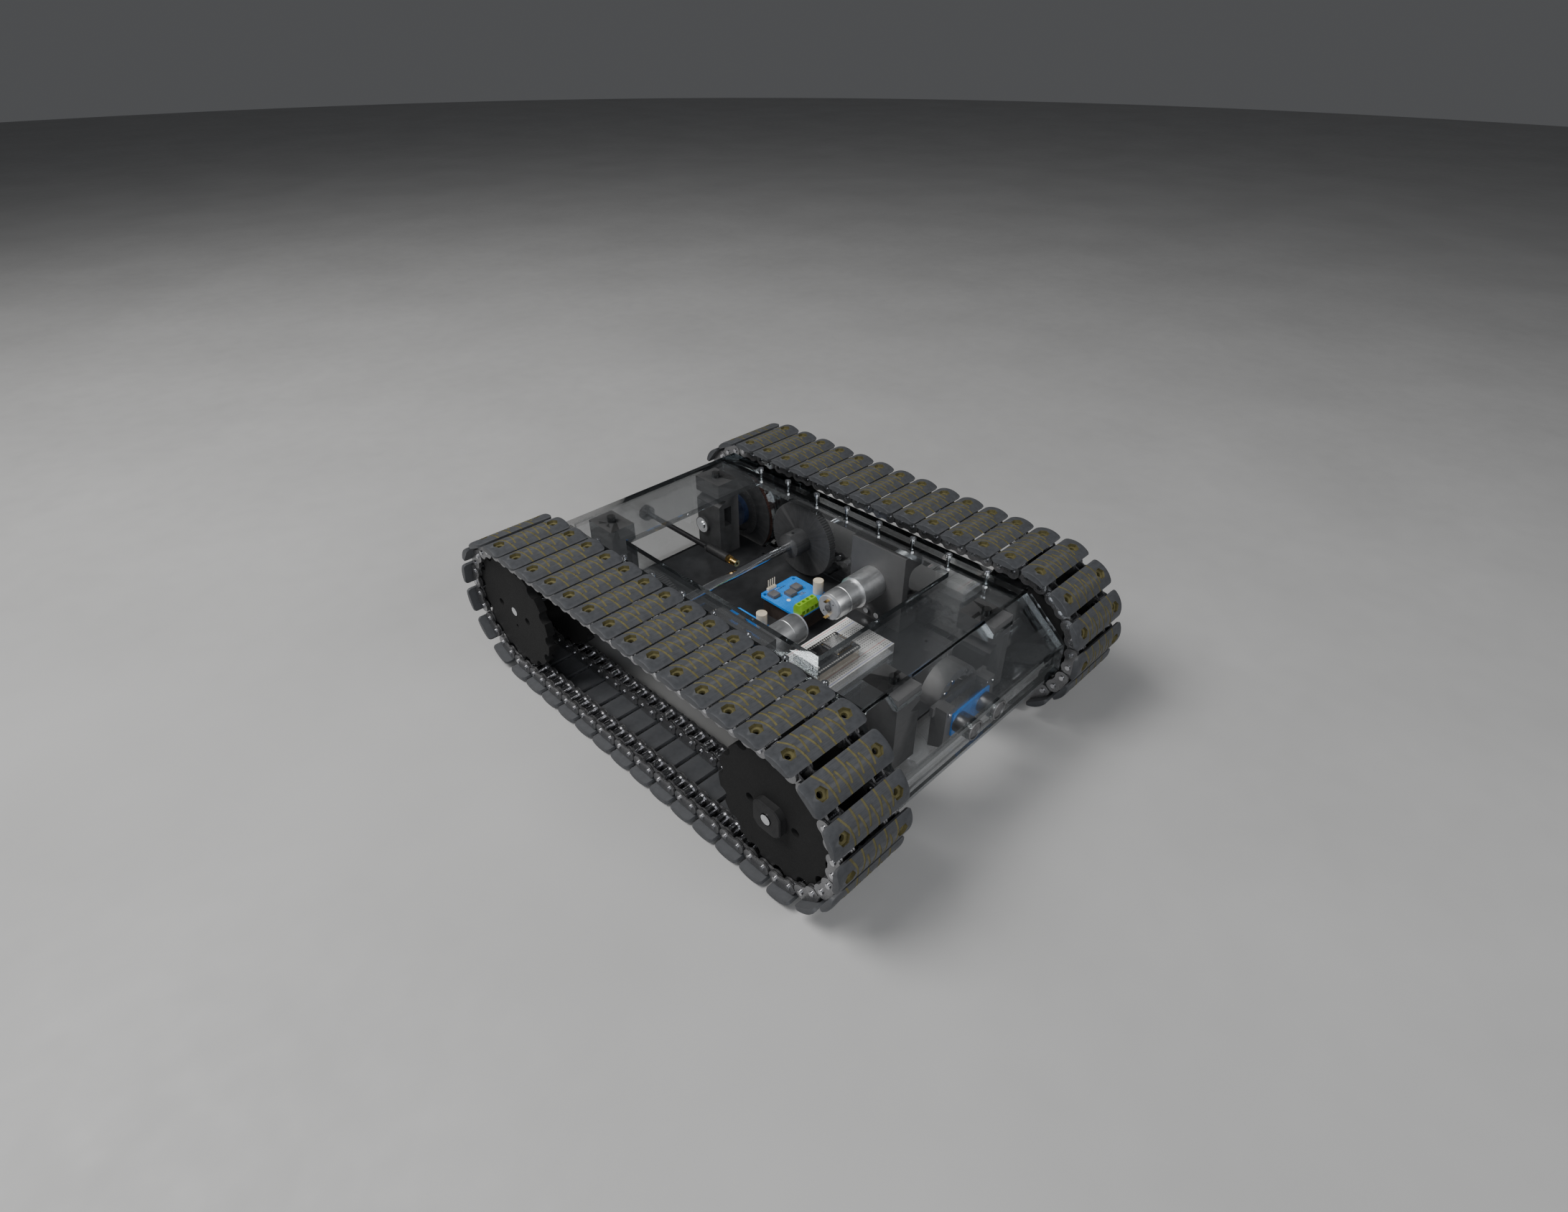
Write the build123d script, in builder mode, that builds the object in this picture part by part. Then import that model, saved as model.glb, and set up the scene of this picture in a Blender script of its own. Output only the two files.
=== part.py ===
from build123d import *
import os
from math import cos, pi, radians, sin

os.makedirs("parts", exist_ok=True)

# Tracked robot chassis. Millimetres, +Z up, nose towards -Y, origin on the floor
# under the middle of the body. "left" is +X and "right" is -X.
SIDES = {"right": -1, "left": 1}

# ---- driving dimensions ----------------------------------------------------------
PITCH = 12.7                # chain pitch
TEETH = 28                  # chain pitches round a full wheel
RUN_PITCHES = 25            # chain pitches between the two axles
AXLE_Z = 68.0
AXLE_R = 4.0
RUNNING = 0.05              # radial clearance of a shaft in its hole

BODY_HALF = 100.0           # inner face of the side walls
WALL_T = 4.0
BODY_BACK = 171.0
PLATE_FRONT = -172.0        # front edge of the top plate
NOSE_Y = -211.5
FLOOR_FRONT = -153.0
FLOOR_BOTTOM = 37.0
FLOOR_T = 3.0
DECK_BOTTOM = 119.0
DECK_T = 5.0
NOSE_TOP_Z = 89.0
NOSE_LOW_Z = 62.0
SHEET_T = 3.0

PAD_X = 140.6               # middle of a pad, from the centre plane
PAD_LENGTH = 71.0
CHAIN_X = (119.4, 161.8)    # middles of the two chains of one track

FRONT_POST_X = (44.0, 69.5)
FRONT_POST_Y = (-181.0, -149.0)
REAR_POST_X = (50.0, 75.0)
REAR_POST_Y = (134.0, 167.5)

MOTOR_Y = -40.0
MOTOR_Z = 80.0
CROSS_Y = 54.0
CROSS_Z = 80.0

DECK_SCREW_X = 96.0
DECK_SCREWS_Y = [122.8 - 37.4 * i for i in range(8)]

# ---- values that follow from them ------------------------------------------------
CHAIN_R = PITCH / 2 / sin(pi / TEETH)
RUN_R = CHAIN_R * cos(pi / TEETH)
HALF_BASE = RUN_PITCHES * PITCH / 2
LINKS = 2 * RUN_PITCHES + TEETH
FLOOR_TOP = FLOOR_BOTTOM + FLOOR_T
DECK_TOP = DECK_BOTTOM + DECK_T
WALL_OUT = BODY_HALF + WALL_T


def across(side, x):
    """Plane square to X at a distance x from the centre plane, with Y right and Z up."""
    return Plane.YZ.offset(side * x)


def link_place(i):
    """Place of chain link i in a side plane: link 0 is above the front axle."""
    half_loop = LINKS // 2
    if i >= half_loop:
        return Location((0, 2 * AXLE_Z, 0), (0, 0, 180)) * link_place(i - half_loop)
    if i <= RUN_PITCHES:
        return Location((-HALF_BASE + i * PITCH, AXLE_Z + RUN_R, 0))
    turn = (i - RUN_PITCHES) * 360 / TEETH
    y = HALF_BASE + RUN_R * sin(radians(turn))
    z = AXLE_Z + RUN_R * cos(radians(turn))
    return Location((y, z, 0), (0, 0, -turn))


ALL_LINKS = [link_place(i) for i in range(LINKS)]
OUTER_LINKS = ALL_LINKS[1::2]       # these carry the pads
INNER_LINKS = ALL_LINKS[0::2]
HALF_PITCH = Location((PITCH / 2, 0, 0))
PIN_PLACES = [place * HALF_PITCH for place in ALL_LINKS]


# ---- track: roller chains --------------------------------------------------------
LINK_PLATE_T = 1.5
LINK_PLATE_R = 5.9
LINK_WAIST = 8.6
OUTER_PLATE_X = 6.6         # from the chain's middle to a plate's middle
INNER_PLATE_X = 4.65
PIN_R = 1.98
PIN_HALF = 8.25
ROLLER_R = 4.25
ROLLER_HALF = 3.85
PAD_SEAT = 6.25             # pad underside, out from the pin line
LUG_WIDTH = 9.0

with BuildSketch() as link_outline:
    with Locations((-PITCH / 2, 0), (PITCH / 2, 0)):
        Circle(LINK_PLATE_R)
    Rectangle(PITCH, LINK_WAIST)
    with Locations((-PITCH / 2, 0), (PITCH / 2, 0)):
        Circle(PIN_R + RUNNING, mode=Mode.SUBTRACT)

with BuildSketch() as lugged_outline:
    add(link_outline.sketch)
    Rectangle(LUG_WIDTH, PAD_SEAT, align=(Align.CENTER, Align.MIN))


def link_plates(side, outline, places, from_middle):
    """The plates of every second link, on both sides of both chains of a track."""
    with BuildPart() as plates:
        for chain_x in CHAIN_X:
            for offset in (-from_middle, from_middle):
                with BuildSketch(across(side, chain_x + offset - LINK_PLATE_T / 2)):
                    with Locations(*places):
                        add(outline.sketch)
                extrude(amount=side * LINK_PLATE_T)
    return plates


def chain_round_bars(side, radius, half_length, bore=0.0):
    """A round bar or tube at every pin place of both chains of a track."""
    with BuildPart() as bars:
        for chain_x in CHAIN_X:
            with BuildSketch(across(side, chain_x - half_length)):
                with Locations(*PIN_PLACES):
                    Circle(radius)
                    if bore:
                        Circle(bore, mode=Mode.SUBTRACT)
            extrude(amount=side * 2 * half_length)
    return bars


for name, side in SIDES.items():
    outer_plates = link_plates(side, lugged_outline, OUTER_LINKS, OUTER_PLATE_X)
    outer_plates.part.label = f"chain_outer_plates_{name}"
    export_step(outer_plates.part, f"parts/chain_outer_plates_{name}.step")

    inner_plates = link_plates(side, link_outline, INNER_LINKS, INNER_PLATE_X)
    inner_plates.part.label = f"chain_inner_plates_{name}"
    export_step(inner_plates.part, f"parts/chain_inner_plates_{name}.step")

    pins = chain_round_bars(side, PIN_R, PIN_HALF)
    pins.part.label = f"chain_pins_{name}"
    export_step(pins.part, f"parts/chain_pins_{name}.step")

    rollers = chain_round_bars(side, ROLLER_R, ROLLER_HALF, bore=PIN_R + RUNNING)
    rollers.part.label = f"chain_rollers_{name}"
    export_step(rollers.part, f"parts/chain_rollers_{name}.step")

# ---- track: pads -----------------------------------------------------------------
PAD_BASE_HALF = 10.75       # half width along the travel, at the underside
PAD_HALF = 11.8
PAD_SIDE = 1.8              # height of the flared side
PAD_CROWN = AXLE_Z - RUN_R  # crown height above the pin line: it touches the floor
PAD_CORNER = 3.0
PAD_HOLE_X = 25.2           # hole, from the pad's middle
PAD_HOLE_R = 2.25
PAD_HEX_R = 5.0
PAD_HEX_DEPTH = 2.75

with BuildPart() as pad:
    with BuildSketch(Plane.XY.offset(-PAD_LENGTH / 2)):
        with BuildLine():
            Polyline(
                (-PAD_HALF, PAD_SEAT + PAD_SIDE),
                (-PAD_BASE_HALF, PAD_SEAT),
                (PAD_BASE_HALF, PAD_SEAT),
                (PAD_HALF, PAD_SEAT + PAD_SIDE),
            )
            ThreePointArc(
                (PAD_HALF, PAD_SEAT + PAD_SIDE),
                (0, PAD_CROWN),
                (-PAD_HALF, PAD_SEAT + PAD_SIDE),
            )
        make_face()
    extrude(amount=PAD_LENGTH)
    with BuildSketch(Plane.XZ.offset(-PAD_CROWN)):
        RectangleRounded(2 * PAD_HALF, PAD_LENGTH, PAD_CORNER)
    extrude(amount=PAD_CROWN, mode=Mode.INTERSECT)
    with BuildSketch(Plane.XZ.offset(-PAD_CROWN)):
        with Locations((0, -PAD_HOLE_X), (0, PAD_HOLE_X)):
            RegularPolygon(PAD_HEX_R, 6)
    extrude(amount=PAD_HEX_DEPTH, mode=Mode.SUBTRACT)
    with BuildSketch(Plane.XZ.offset(-PAD_CROWN)):
        with Locations((0, -PAD_HOLE_X), (0, PAD_HOLE_X)):
            Circle(PAD_HOLE_R)
    extrude(amount=PAD_CROWN, mode=Mode.SUBTRACT)

for name, side in SIDES.items():
    middle = across(side, PAD_X).location
    with BuildPart() as pads:
        with Locations(*[middle * place for place in OUTER_LINKS]):
            add(pad.part)
    pads.part.label = f"pads_{name}"
    export_step(pads.part, f"parts/pads_{name}.step")

# ---- wheels ----------------------------------------------------------------------
SPROCKET_T = 7.0
SPROCKET_R = 52.1
VALLEYS = TEETH // 2
VALLEY_AT = 53.0
VALLEY_R = 5.5
SPROCKET_HOLES_AT = 21.0
SPROCKET_HOLE_R = 3.5
KEY_HOLE_AT = 15.0
KEY_HOLE_R = 1.6
AXLE_STUB = 4.0             # axle end, inside of the post's inner face
REAR_AXLE_END = 165.5
FRONT_AXLE_END = 171.6
FRONT_HUB_END = 171.0
FRONT_HUB_R = 14.5
FRONT_HUB_FLAT = 12.6
FRONT_HUB_CHAMFER = 0.8
FIRST_VALLEY = 90 - 180 / TEETH


def sprocket_pair(side, axle_y, key_hole):
    with BuildPart() as sprockets:
        for chain_x in CHAIN_X:
            with BuildSketch(across(side, chain_x - SPROCKET_T / 2)):
                with Locations((axle_y, AXLE_Z)):
                    Circle(SPROCKET_R)
                    Circle(AXLE_R + RUNNING, mode=Mode.SUBTRACT)
                    with PolarLocations(VALLEY_AT, VALLEYS, start_angle=FIRST_VALLEY):
                        Circle(VALLEY_R, mode=Mode.SUBTRACT)
                    with PolarLocations(SPROCKET_HOLES_AT, 2):
                        Circle(SPROCKET_HOLE_R, mode=Mode.SUBTRACT)
                    if key_hole:
                        with PolarLocations(KEY_HOLE_AT, 1, start_angle=-90):
                            Circle(KEY_HOLE_R, mode=Mode.SUBTRACT)
            extrude(amount=side * SPROCKET_T)
    return sprockets


def round_bar(side, x_from, x_to, y, z, radius, bore=0.0):
    """A bar or tube along X between two distances from the centre plane."""
    with BuildPart() as bar:
        with BuildSketch(across(side, x_from)):
            with Locations((y, z)):
                Circle(radius)
                if bore:
                    Circle(bore, mode=Mode.SUBTRACT)
        extrude(amount=side * (x_to - x_from))
    return bar


OUTER_SPROCKET_FACE = CHAIN_X[1] + SPROCKET_T / 2
FRONT_INNER_END = FRONT_POST_X[0] - AXLE_STUB
REAR_INNER_END = REAR_POST_X[0] - AXLE_STUB

for name, side in SIDES.items():
    front_axle = round_bar(side, FRONT_INNER_END, FRONT_AXLE_END, -HALF_BASE, AXLE_Z, AXLE_R)
    front_axle.part.label = f"front_axle_{name}"
    export_step(front_axle.part, f"parts/front_axle_{name}.step")

    rear_axle = round_bar(side, REAR_INNER_END, REAR_AXLE_END, HALF_BASE, AXLE_Z, AXLE_R)
    rear_axle.part.label = f"rear_axle_{name}"
    export_step(rear_axle.part, f"parts/rear_axle_{name}.step")

    front_sprockets = sprocket_pair(side, -HALF_BASE, key_hole=False)
    front_sprockets.part.label = f"front_sprockets_{name}"
    export_step(front_sprockets.part, f"parts/front_sprockets_{name}.step")

    rear_sprockets = sprocket_pair(side, HALF_BASE, key_hole=True)
    rear_sprockets.part.label = f"rear_sprockets_{name}"
    export_step(rear_sprockets.part, f"parts/rear_sprockets_{name}.step")

    with BuildPart() as front_hub:
        with BuildSketch(across(side, OUTER_SPROCKET_FACE)):
            with Locations((-HALF_BASE, AXLE_Z)):
                Circle(FRONT_HUB_R)
                Rectangle(2 * FRONT_HUB_FLAT, 2 * FRONT_HUB_FLAT, mode=Mode.INTERSECT)
                Circle(AXLE_R + RUNNING, mode=Mode.SUBTRACT)
        extrude(amount=side * (FRONT_HUB_END - OUTER_SPROCKET_FACE))
        end_face = front_hub.faces().sort_by(Axis.X)[0 if side < 0 else -1]
        chamfer(end_face.edges(), FRONT_HUB_CHAMFER)
    front_hub.part.label = f"front_hub_{name}"
    export_step(front_hub.part, f"parts/front_hub_{name}.step")

# ---- rear-axle pulleys -----------------------------------------------------------
REAR_PULLEY_X = (96.0, 108.0)
REAR_FLANGE_R = 47.0
REAR_FLANGE_T = 1.5
REAR_BAND_R = 45.2
REAR_BAND_T = 3.0
REAR_TEETH = 118
REAR_TOOTH_R = 0.7
REAR_RING_R = (24.0, 30.0)
REAR_RING_X = 94.5
REAR_HUB_R = 17.0
REAR_HUB_X = 90.0

for name, side in SIDES.items():
    with BuildPart() as rear_pulley:
        for x in (REAR_PULLEY_X[0], REAR_PULLEY_X[1] - REAR_FLANGE_T):
            with BuildSketch(across(side, x)):
                with Locations((HALF_BASE, AXLE_Z)):
                    Circle(REAR_FLANGE_R)
                    Circle(AXLE_R + RUNNING, mode=Mode.SUBTRACT)
            extrude(amount=side * REAR_FLANGE_T)
        with BuildSketch(across(side, REAR_PULLEY_X[0])):
            with Locations((HALF_BASE, AXLE_Z)):
                Circle(REAR_BAND_R - REAR_BAND_T)
                Circle(AXLE_R + RUNNING, mode=Mode.SUBTRACT)
        extrude(amount=side * (REAR_PULLEY_X[1] - REAR_PULLEY_X[0]))
        with BuildSketch(across(side, REAR_RING_X)):
            with Locations((HALF_BASE, AXLE_Z)):
                Circle(REAR_RING_R[1])
                Circle(REAR_RING_R[0], mode=Mode.SUBTRACT)
        extrude(amount=side * (REAR_PULLEY_X[0] - REAR_RING_X))
    rear_pulley.part.label = f"rear_pulley_{name}"
    export_step(rear_pulley.part, f"parts/rear_pulley_{name}.step")

    with BuildPart() as rear_band:
        with BuildSketch(across(side, REAR_PULLEY_X[0] + REAR_FLANGE_T)):
            with Locations((HALF_BASE, AXLE_Z)):
                Circle(REAR_BAND_R)
                Circle(REAR_BAND_R - REAR_BAND_T, mode=Mode.SUBTRACT)
                with PolarLocations(REAR_BAND_R, REAR_TEETH):
                    Circle(REAR_TOOTH_R, mode=Mode.SUBTRACT)
        extrude(amount=side * (REAR_PULLEY_X[1] - REAR_PULLEY_X[0] - 2 * REAR_FLANGE_T))
    rear_band.part.label = f"rear_pulley_teeth_{name}"
    export_step(rear_band.part, f"parts/rear_pulley_teeth_{name}.step")

    rear_hub = round_bar(
        side, REAR_HUB_X, REAR_PULLEY_X[0], HALF_BASE, AXLE_Z, REAR_HUB_R, AXLE_R + RUNNING
    )
    rear_hub.part.label = f"rear_pulley_hub_{name}"
    export_step(rear_hub.part, f"parts/rear_pulley_hub_{name}.step")

# ---- big pulleys on the cross shaft ----------------------------------------------
BIG_RIM_X = (82.0, 90.0)
BIG_HUB_X = 65.0
BIG_HUB_R = 12.0
BIG_TIP_R = 37.5
BIG_RIM_DEPTH = 4.5
BIG_TEETH = 96
BIG_TOOTH_R = 0.75
BIG_WEB_T = 3.0
SET_SCREW_X = 71.0
SET_SCREW_R = 1.5
SET_SCREW_DEPTH = 7.0

for name, side in SIDES.items():
    hub_middle = side * SET_SCREW_X
    with BuildPart() as big_pulley:
        with BuildSketch(across(side, BIG_RIM_X[0])):
            with Locations((CROSS_Y, CROSS_Z)):
                Circle(BIG_TIP_R)
                with PolarLocations(BIG_TIP_R, BIG_TEETH):
                    Circle(BIG_TOOTH_R, mode=Mode.SUBTRACT)
        extrude(amount=side * (BIG_RIM_X[1] - BIG_RIM_X[0]))
        with BuildSketch(across(side, BIG_RIM_X[0] + BIG_WEB_T)):
            with Locations((CROSS_Y, CROSS_Z)):
                Circle(BIG_TIP_R - BIG_RIM_DEPTH)
                Circle(BIG_HUB_R, mode=Mode.SUBTRACT)
        extrude(amount=side * (BIG_RIM_X[1] - BIG_RIM_X[0]), mode=Mode.SUBTRACT)
        with BuildSketch(across(side, BIG_HUB_X)):
            with Locations((CROSS_Y, CROSS_Z)):
                Circle(BIG_HUB_R)
        extrude(amount=side * (BIG_RIM_X[0] - BIG_HUB_X))
        with BuildSketch(across(side, BIG_HUB_X)):
            with Locations((CROSS_Y, CROSS_Z)):
                Circle(AXLE_R + RUNNING)
        extrude(amount=side * (BIG_RIM_X[1] - BIG_HUB_X), mode=Mode.SUBTRACT)
        with BuildSketch(Plane.XY.offset(CROSS_Z + BIG_HUB_R)):
            with Locations((hub_middle, CROSS_Y)):
                Circle(SET_SCREW_R)
        extrude(amount=-SET_SCREW_DEPTH, mode=Mode.SUBTRACT)
    big_pulley.part.label = f"big_pulley_{name}"
    export_step(big_pulley.part, f"parts/big_pulley_{name}.step")

cross_shaft = round_bar(1, -WALL_OUT, WALL_OUT, CROSS_Y, CROSS_Z, AXLE_R)
cross_shaft.part.label = "cross_shaft"
export_step(cross_shaft.part, "parts/cross_shaft.step")

# ---- gearmotors ------------------------------------------------------------------
CAN_X = (20.0, 50.0)
CAN_R = 12.5
GEARBOX_X = (50.0, 76.5)
GEARBOX_R = 14.5
BOSS_R = 6.0
BOSS_X = 79.5
GEARBOX_BORE = 12.0
SHAFT_INSERT = 11.0
OUTPUT_R = 3.0
OUTPUT_END = 97.0
PINION_X = (86.0, 96.0)
PINION_R = 8.0
PINION_TEETH = 20
PINION_TOOTH_R = 0.7
END_CAP_R = 11.5
END_CAP_T = 2.0
END_BOSS_R = 3.2
TAG_AT = 8.0
TAG_SIZE = (2.8, 0.6)
TAG_LENGTH = 5.0

with BuildPart() as motor_cans:
    for side in SIDES.values():
        with BuildSketch(across(side, CAN_X[0])):
            with Locations((MOTOR_Y, MOTOR_Z)):
                Circle(CAN_R)
        extrude(amount=side * (CAN_X[1] - CAN_X[0]))
motor_cans.part.label = "motor_cans"
export_step(motor_cans.part, "parts/motor_cans.step")

with BuildPart() as gearboxes:
    for side in SIDES.values():
        with BuildSketch(across(side, GEARBOX_X[0])):
            with Locations((MOTOR_Y, MOTOR_Z)):
                Circle(GEARBOX_R)
        extrude(amount=side * (GEARBOX_X[1] - GEARBOX_X[0]))
        with BuildSketch(across(side, GEARBOX_X[1])):
            with Locations((MOTOR_Y, MOTOR_Z)):
                Circle(BOSS_R)
        extrude(amount=side * (BOSS_X - GEARBOX_X[1]))
        with BuildSketch(across(side, BOSS_X)):
            with Locations((MOTOR_Y, MOTOR_Z)):
                Circle(OUTPUT_R + RUNNING)
        extrude(amount=-side * GEARBOX_BORE, mode=Mode.SUBTRACT)
gearboxes.part.label = "gearboxes"
export_step(gearboxes.part, "parts/gearboxes.step")

with BuildPart() as motor_end_caps:
    for side in SIDES.values():
        with BuildSketch(across(side, CAN_X[0] - END_CAP_T)):
            with Locations((MOTOR_Y, MOTOR_Z)):
                Circle(END_CAP_R)
        extrude(amount=side * END_CAP_T)
        with BuildSketch(across(side, CAN_X[0] - 2 * END_CAP_T)):
            with Locations((MOTOR_Y, MOTOR_Z)):
                Circle(END_BOSS_R)
        extrude(amount=side * END_CAP_T)
motor_end_caps.part.label = "motor_end_caps"
export_step(motor_end_caps.part, "parts/motor_end_caps.step")

with BuildPart() as motor_terminals:
    for side in SIDES.values():
        with BuildSketch(across(side, CAN_X[0] - END_CAP_T - TAG_LENGTH)):
            with Locations((MOTOR_Y, MOTOR_Z - TAG_AT), (MOTOR_Y, MOTOR_Z + TAG_AT)):
                Rectangle(*TAG_SIZE)
        extrude(amount=side * TAG_LENGTH)
motor_terminals.part.label = "motor_terminals"
export_step(motor_terminals.part, "parts/motor_terminals.step")

for name, side in SIDES.items():
    with BuildPart() as output_shaft:
        with BuildSketch(across(side, BOSS_X - SHAFT_INSERT)):
            with Locations((MOTOR_Y, MOTOR_Z)):
                Circle(OUTPUT_R)
        extrude(amount=side * (OUTPUT_END - BOSS_X + SHAFT_INSERT))
        with BuildSketch(across(side, PINION_X[0])):
            with Locations((MOTOR_Y, MOTOR_Z)):
                Circle(PINION_R)
                with PolarLocations(PINION_R, PINION_TEETH):
                    Circle(PINION_TOOTH_R, mode=Mode.SUBTRACT)
        extrude(amount=side * (PINION_X[1] - PINION_X[0]))
    output_shaft.part.label = f"motor_output_{name}"
    export_step(output_shaft.part, f"parts/motor_output_{name}.step")

# ---- fastener sizes --------------------------------------------------------------
SCREW_R = 1.5
SCREW_HEAD_R = 2.75
SCREW_HEAD_H = 2.4
SOCKET_R = 1.4
SOCKET_DEPTH = 1.4
NUT_R = 3.17
NUT_H = 2.4

# ---- motor brackets: a C section along Y -----------------------------------------
BRACKET_X = (76.5, 100.0)
BRACKET_Y = (-73.0, -14.0)
BRACKET_TOP = 116.0
BRACKET_WEB = 7.5
BRACKET_FOOT = 14.0
BRACKET_FILLET = 9.0
BRACKET_TAP = 10.0
TOUCH = 0.01

with BuildPart() as motor_brackets:
    for side in SIDES.values():
        inner, outer = BRACKET_X
        web = inner + BRACKET_WEB
        low = FLOOR_TOP + BRACKET_FOOT
        high = BRACKET_TOP - BRACKET_FOOT
        with BuildSketch(Plane.XZ.offset(-BRACKET_Y[0])) as section:
            with BuildLine():
                Polyline(
                    (side * inner, FLOOR_TOP),
                    (side * outer, FLOOR_TOP),
                    (side * outer, low),
                    (side * web, low),
                    (side * web, high),
                    (side * outer, high),
                    (side * outer, BRACKET_TOP),
                    (side * inner, BRACKET_TOP),
                    close=True,
                )
            make_face()
            throat = [v for v in section.vertices() if abs(abs(v.X) - web) < TOUCH]
            fillet(throat, BRACKET_FILLET)
        extrude(amount=BRACKET_Y[0] - BRACKET_Y[1])
        with BuildSketch(across(side, inner)):
            with Locations((MOTOR_Y, MOTOR_Z)):
                Circle(BOSS_R + 2 * RUNNING)
        extrude(amount=side * BRACKET_WEB, mode=Mode.SUBTRACT)
        with BuildSketch(Plane.XY.offset(BRACKET_TOP)):
            over = [y for y in DECK_SCREWS_Y if BRACKET_Y[0] < y < BRACKET_Y[1]]
            with Locations(*[(side * DECK_SCREW_X, y) for y in over]):
                Circle(SCREW_R + RUNNING)
        extrude(amount=-BRACKET_TAP, mode=Mode.SUBTRACT)
motor_brackets.part.label = "motor_brackets"
export_step(motor_brackets.part, "parts/motor_brackets.step")

# ---- body plates -----------------------------------------------------------------
FLOOR_SEAM_Y = -116.5
SEAM = 0.3
PULLEY_NOTCH_X = 93.0       # the floor is narrower beside the rear-axle pulleys
PULLEY_NOTCH_Y = 116.0
FLOOR_BOLTS = [(x, y) for x in (-84.0, 84.0) for y in (-98.0, 108.0)]
FLOOR_BOLT_R = 1.6
WINDOW_HALF = 77.0
WINDOW_Y = (-115.5, 108.5)
POST_BOLT_R = 3.75
FRONT_POST_BOLT = (55.5, -166.0)
REAR_POST_BOLT = (62.0, 151.0)
FLANGE_BOTTOM = 116.0
FLANGE_INNER = 91.5
FRONT_AXLE_HOLE_R = 5.0
PULLEY_CUTOUT_R = 47.8
REAR_WALL_HALF = 88.0
REAR_WALL_FRONT = 168.0
ANTENNA_Z = 90.0
ANTENNA_R = 2.5
HOOD_BACK_Z = 122.0
CAP_GAP = 0.5              # round the post caps in the hood's notches

NOSE_SLOPE = (NOSE_TOP_Z - HOOD_BACK_Z) / (NOSE_Y - PLATE_FRONT)   # rise of the hood per unit of y
HOOD_DROP = SHEET_T * (1 + NOSE_SLOPE ** 2) ** 0.5              # sheet measured straight down
BELLY_SLOPE = (NOSE_LOW_Z - FLOOR_BOTTOM) / (NOSE_Y - FLOOR_FRONT)
BELLY_RISE = SHEET_T * (1 + BELLY_SLOPE ** 2) ** 0.5


def hood_top(y):
    return NOSE_TOP_Z + NOSE_SLOPE * (y - NOSE_Y)


def belly_top(y):
    return FLOOR_BOTTOM + BELLY_SLOPE * (y - FLOOR_FRONT) + BELLY_RISE


with BuildPart() as floor_plates:
    with BuildSketch(Plane.XY.offset(FLOOR_BOTTOM)):
        with BuildLine():
            Polyline(
                (-BODY_HALF, FLOOR_SEAM_Y + SEAM),
                (BODY_HALF, FLOOR_SEAM_Y + SEAM),
                (BODY_HALF, PULLEY_NOTCH_Y),
                (PULLEY_NOTCH_X, PULLEY_NOTCH_Y),
                (PULLEY_NOTCH_X, BODY_BACK),
                (-PULLEY_NOTCH_X, BODY_BACK),
                (-PULLEY_NOTCH_X, PULLEY_NOTCH_Y),
                (-BODY_HALF, PULLEY_NOTCH_Y),
                close=True,
            )
        make_face()
        with Locations((0, (FLOOR_FRONT + FLOOR_SEAM_Y) / 2)):
            Rectangle(2 * BODY_HALF, FLOOR_SEAM_Y - FLOOR_FRONT)
        with Locations(*FLOOR_BOLTS):
            Circle(FLOOR_BOLT_R, mode=Mode.SUBTRACT)
    extrude(amount=FLOOR_T)
floor_plates.part.label = "floor_plates"
export_step(floor_plates.part, "parts/floor_plates.step")

with BuildPart() as nose_belly:
    with BuildSketch(Plane.YZ.offset(-BODY_HALF)):
        with BuildLine():
            Polyline(
                (FLOOR_FRONT, FLOOR_BOTTOM),
                (FLOOR_FRONT, belly_top(FLOOR_FRONT)),
                (NOSE_Y, belly_top(NOSE_Y)),
                (NOSE_Y, NOSE_LOW_Z),
                close=True,
            )
        make_face()
    extrude(amount=2 * BODY_HALF)
nose_belly.part.label = "nose_belly"
export_step(nose_belly.part, "parts/nose_belly.step")

SENSOR_X = 15.0
SENSOR_Z = 76.3
SENSOR_R = 8.2
SENSOR_HOLE_R = 8.3

with BuildPart() as nose_strip:
    inner_y = NOSE_Y + SHEET_T
    with BuildSketch(Plane.YZ.offset(-BODY_HALF)):
        with BuildLine():
            Polyline(
                (NOSE_Y, belly_top(NOSE_Y)),
                (inner_y, belly_top(inner_y)),
                (inner_y, hood_top(inner_y) - HOOD_DROP),
                (NOSE_Y, hood_top(NOSE_Y) - HOOD_DROP),
                close=True,
            )
        make_face()
    extrude(amount=2 * BODY_HALF)
    with BuildSketch(Plane.XZ.offset(-NOSE_Y)):
        with Locations((-SENSOR_X, SENSOR_Z), (SENSOR_X, SENSOR_Z)):
            Circle(SENSOR_HOLE_R)
    extrude(amount=-SHEET_T, mode=Mode.SUBTRACT)
nose_strip.part.label = "nose_strip"
export_step(nose_strip.part, "parts/nose_strip.step")

with BuildPart() as nose_hood:
    with BuildSketch(Plane.YZ.offset(-BODY_HALF)):
        with BuildLine():
            Polyline(
                (PLATE_FRONT, hood_top(PLATE_FRONT)),
                (NOSE_Y, hood_top(NOSE_Y)),
                (NOSE_Y, hood_top(NOSE_Y) - HOOD_DROP),
                (PLATE_FRONT, hood_top(PLATE_FRONT) - HOOD_DROP),
                close=True,
            )
        make_face()
    extrude(amount=2 * BODY_HALF)
    with BuildSketch(Plane.XY.offset(DECK_TOP)):
        for side in SIDES.values():
            middle_x = side * (FRONT_POST_X[0] + FRONT_POST_X[1]) / 2
            with Locations((middle_x, PLATE_FRONT)):
                Rectangle(
                    FRONT_POST_X[1] - FRONT_POST_X[0] + 2 * CAP_GAP,
                    2 * (PLATE_FRONT - FRONT_POST_Y[0] + CAP_GAP),
                )
    extrude(amount=NOSE_TOP_Z - DECK_TOP, mode=Mode.SUBTRACT)
nose_hood.part.label = "nose_hood"
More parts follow.
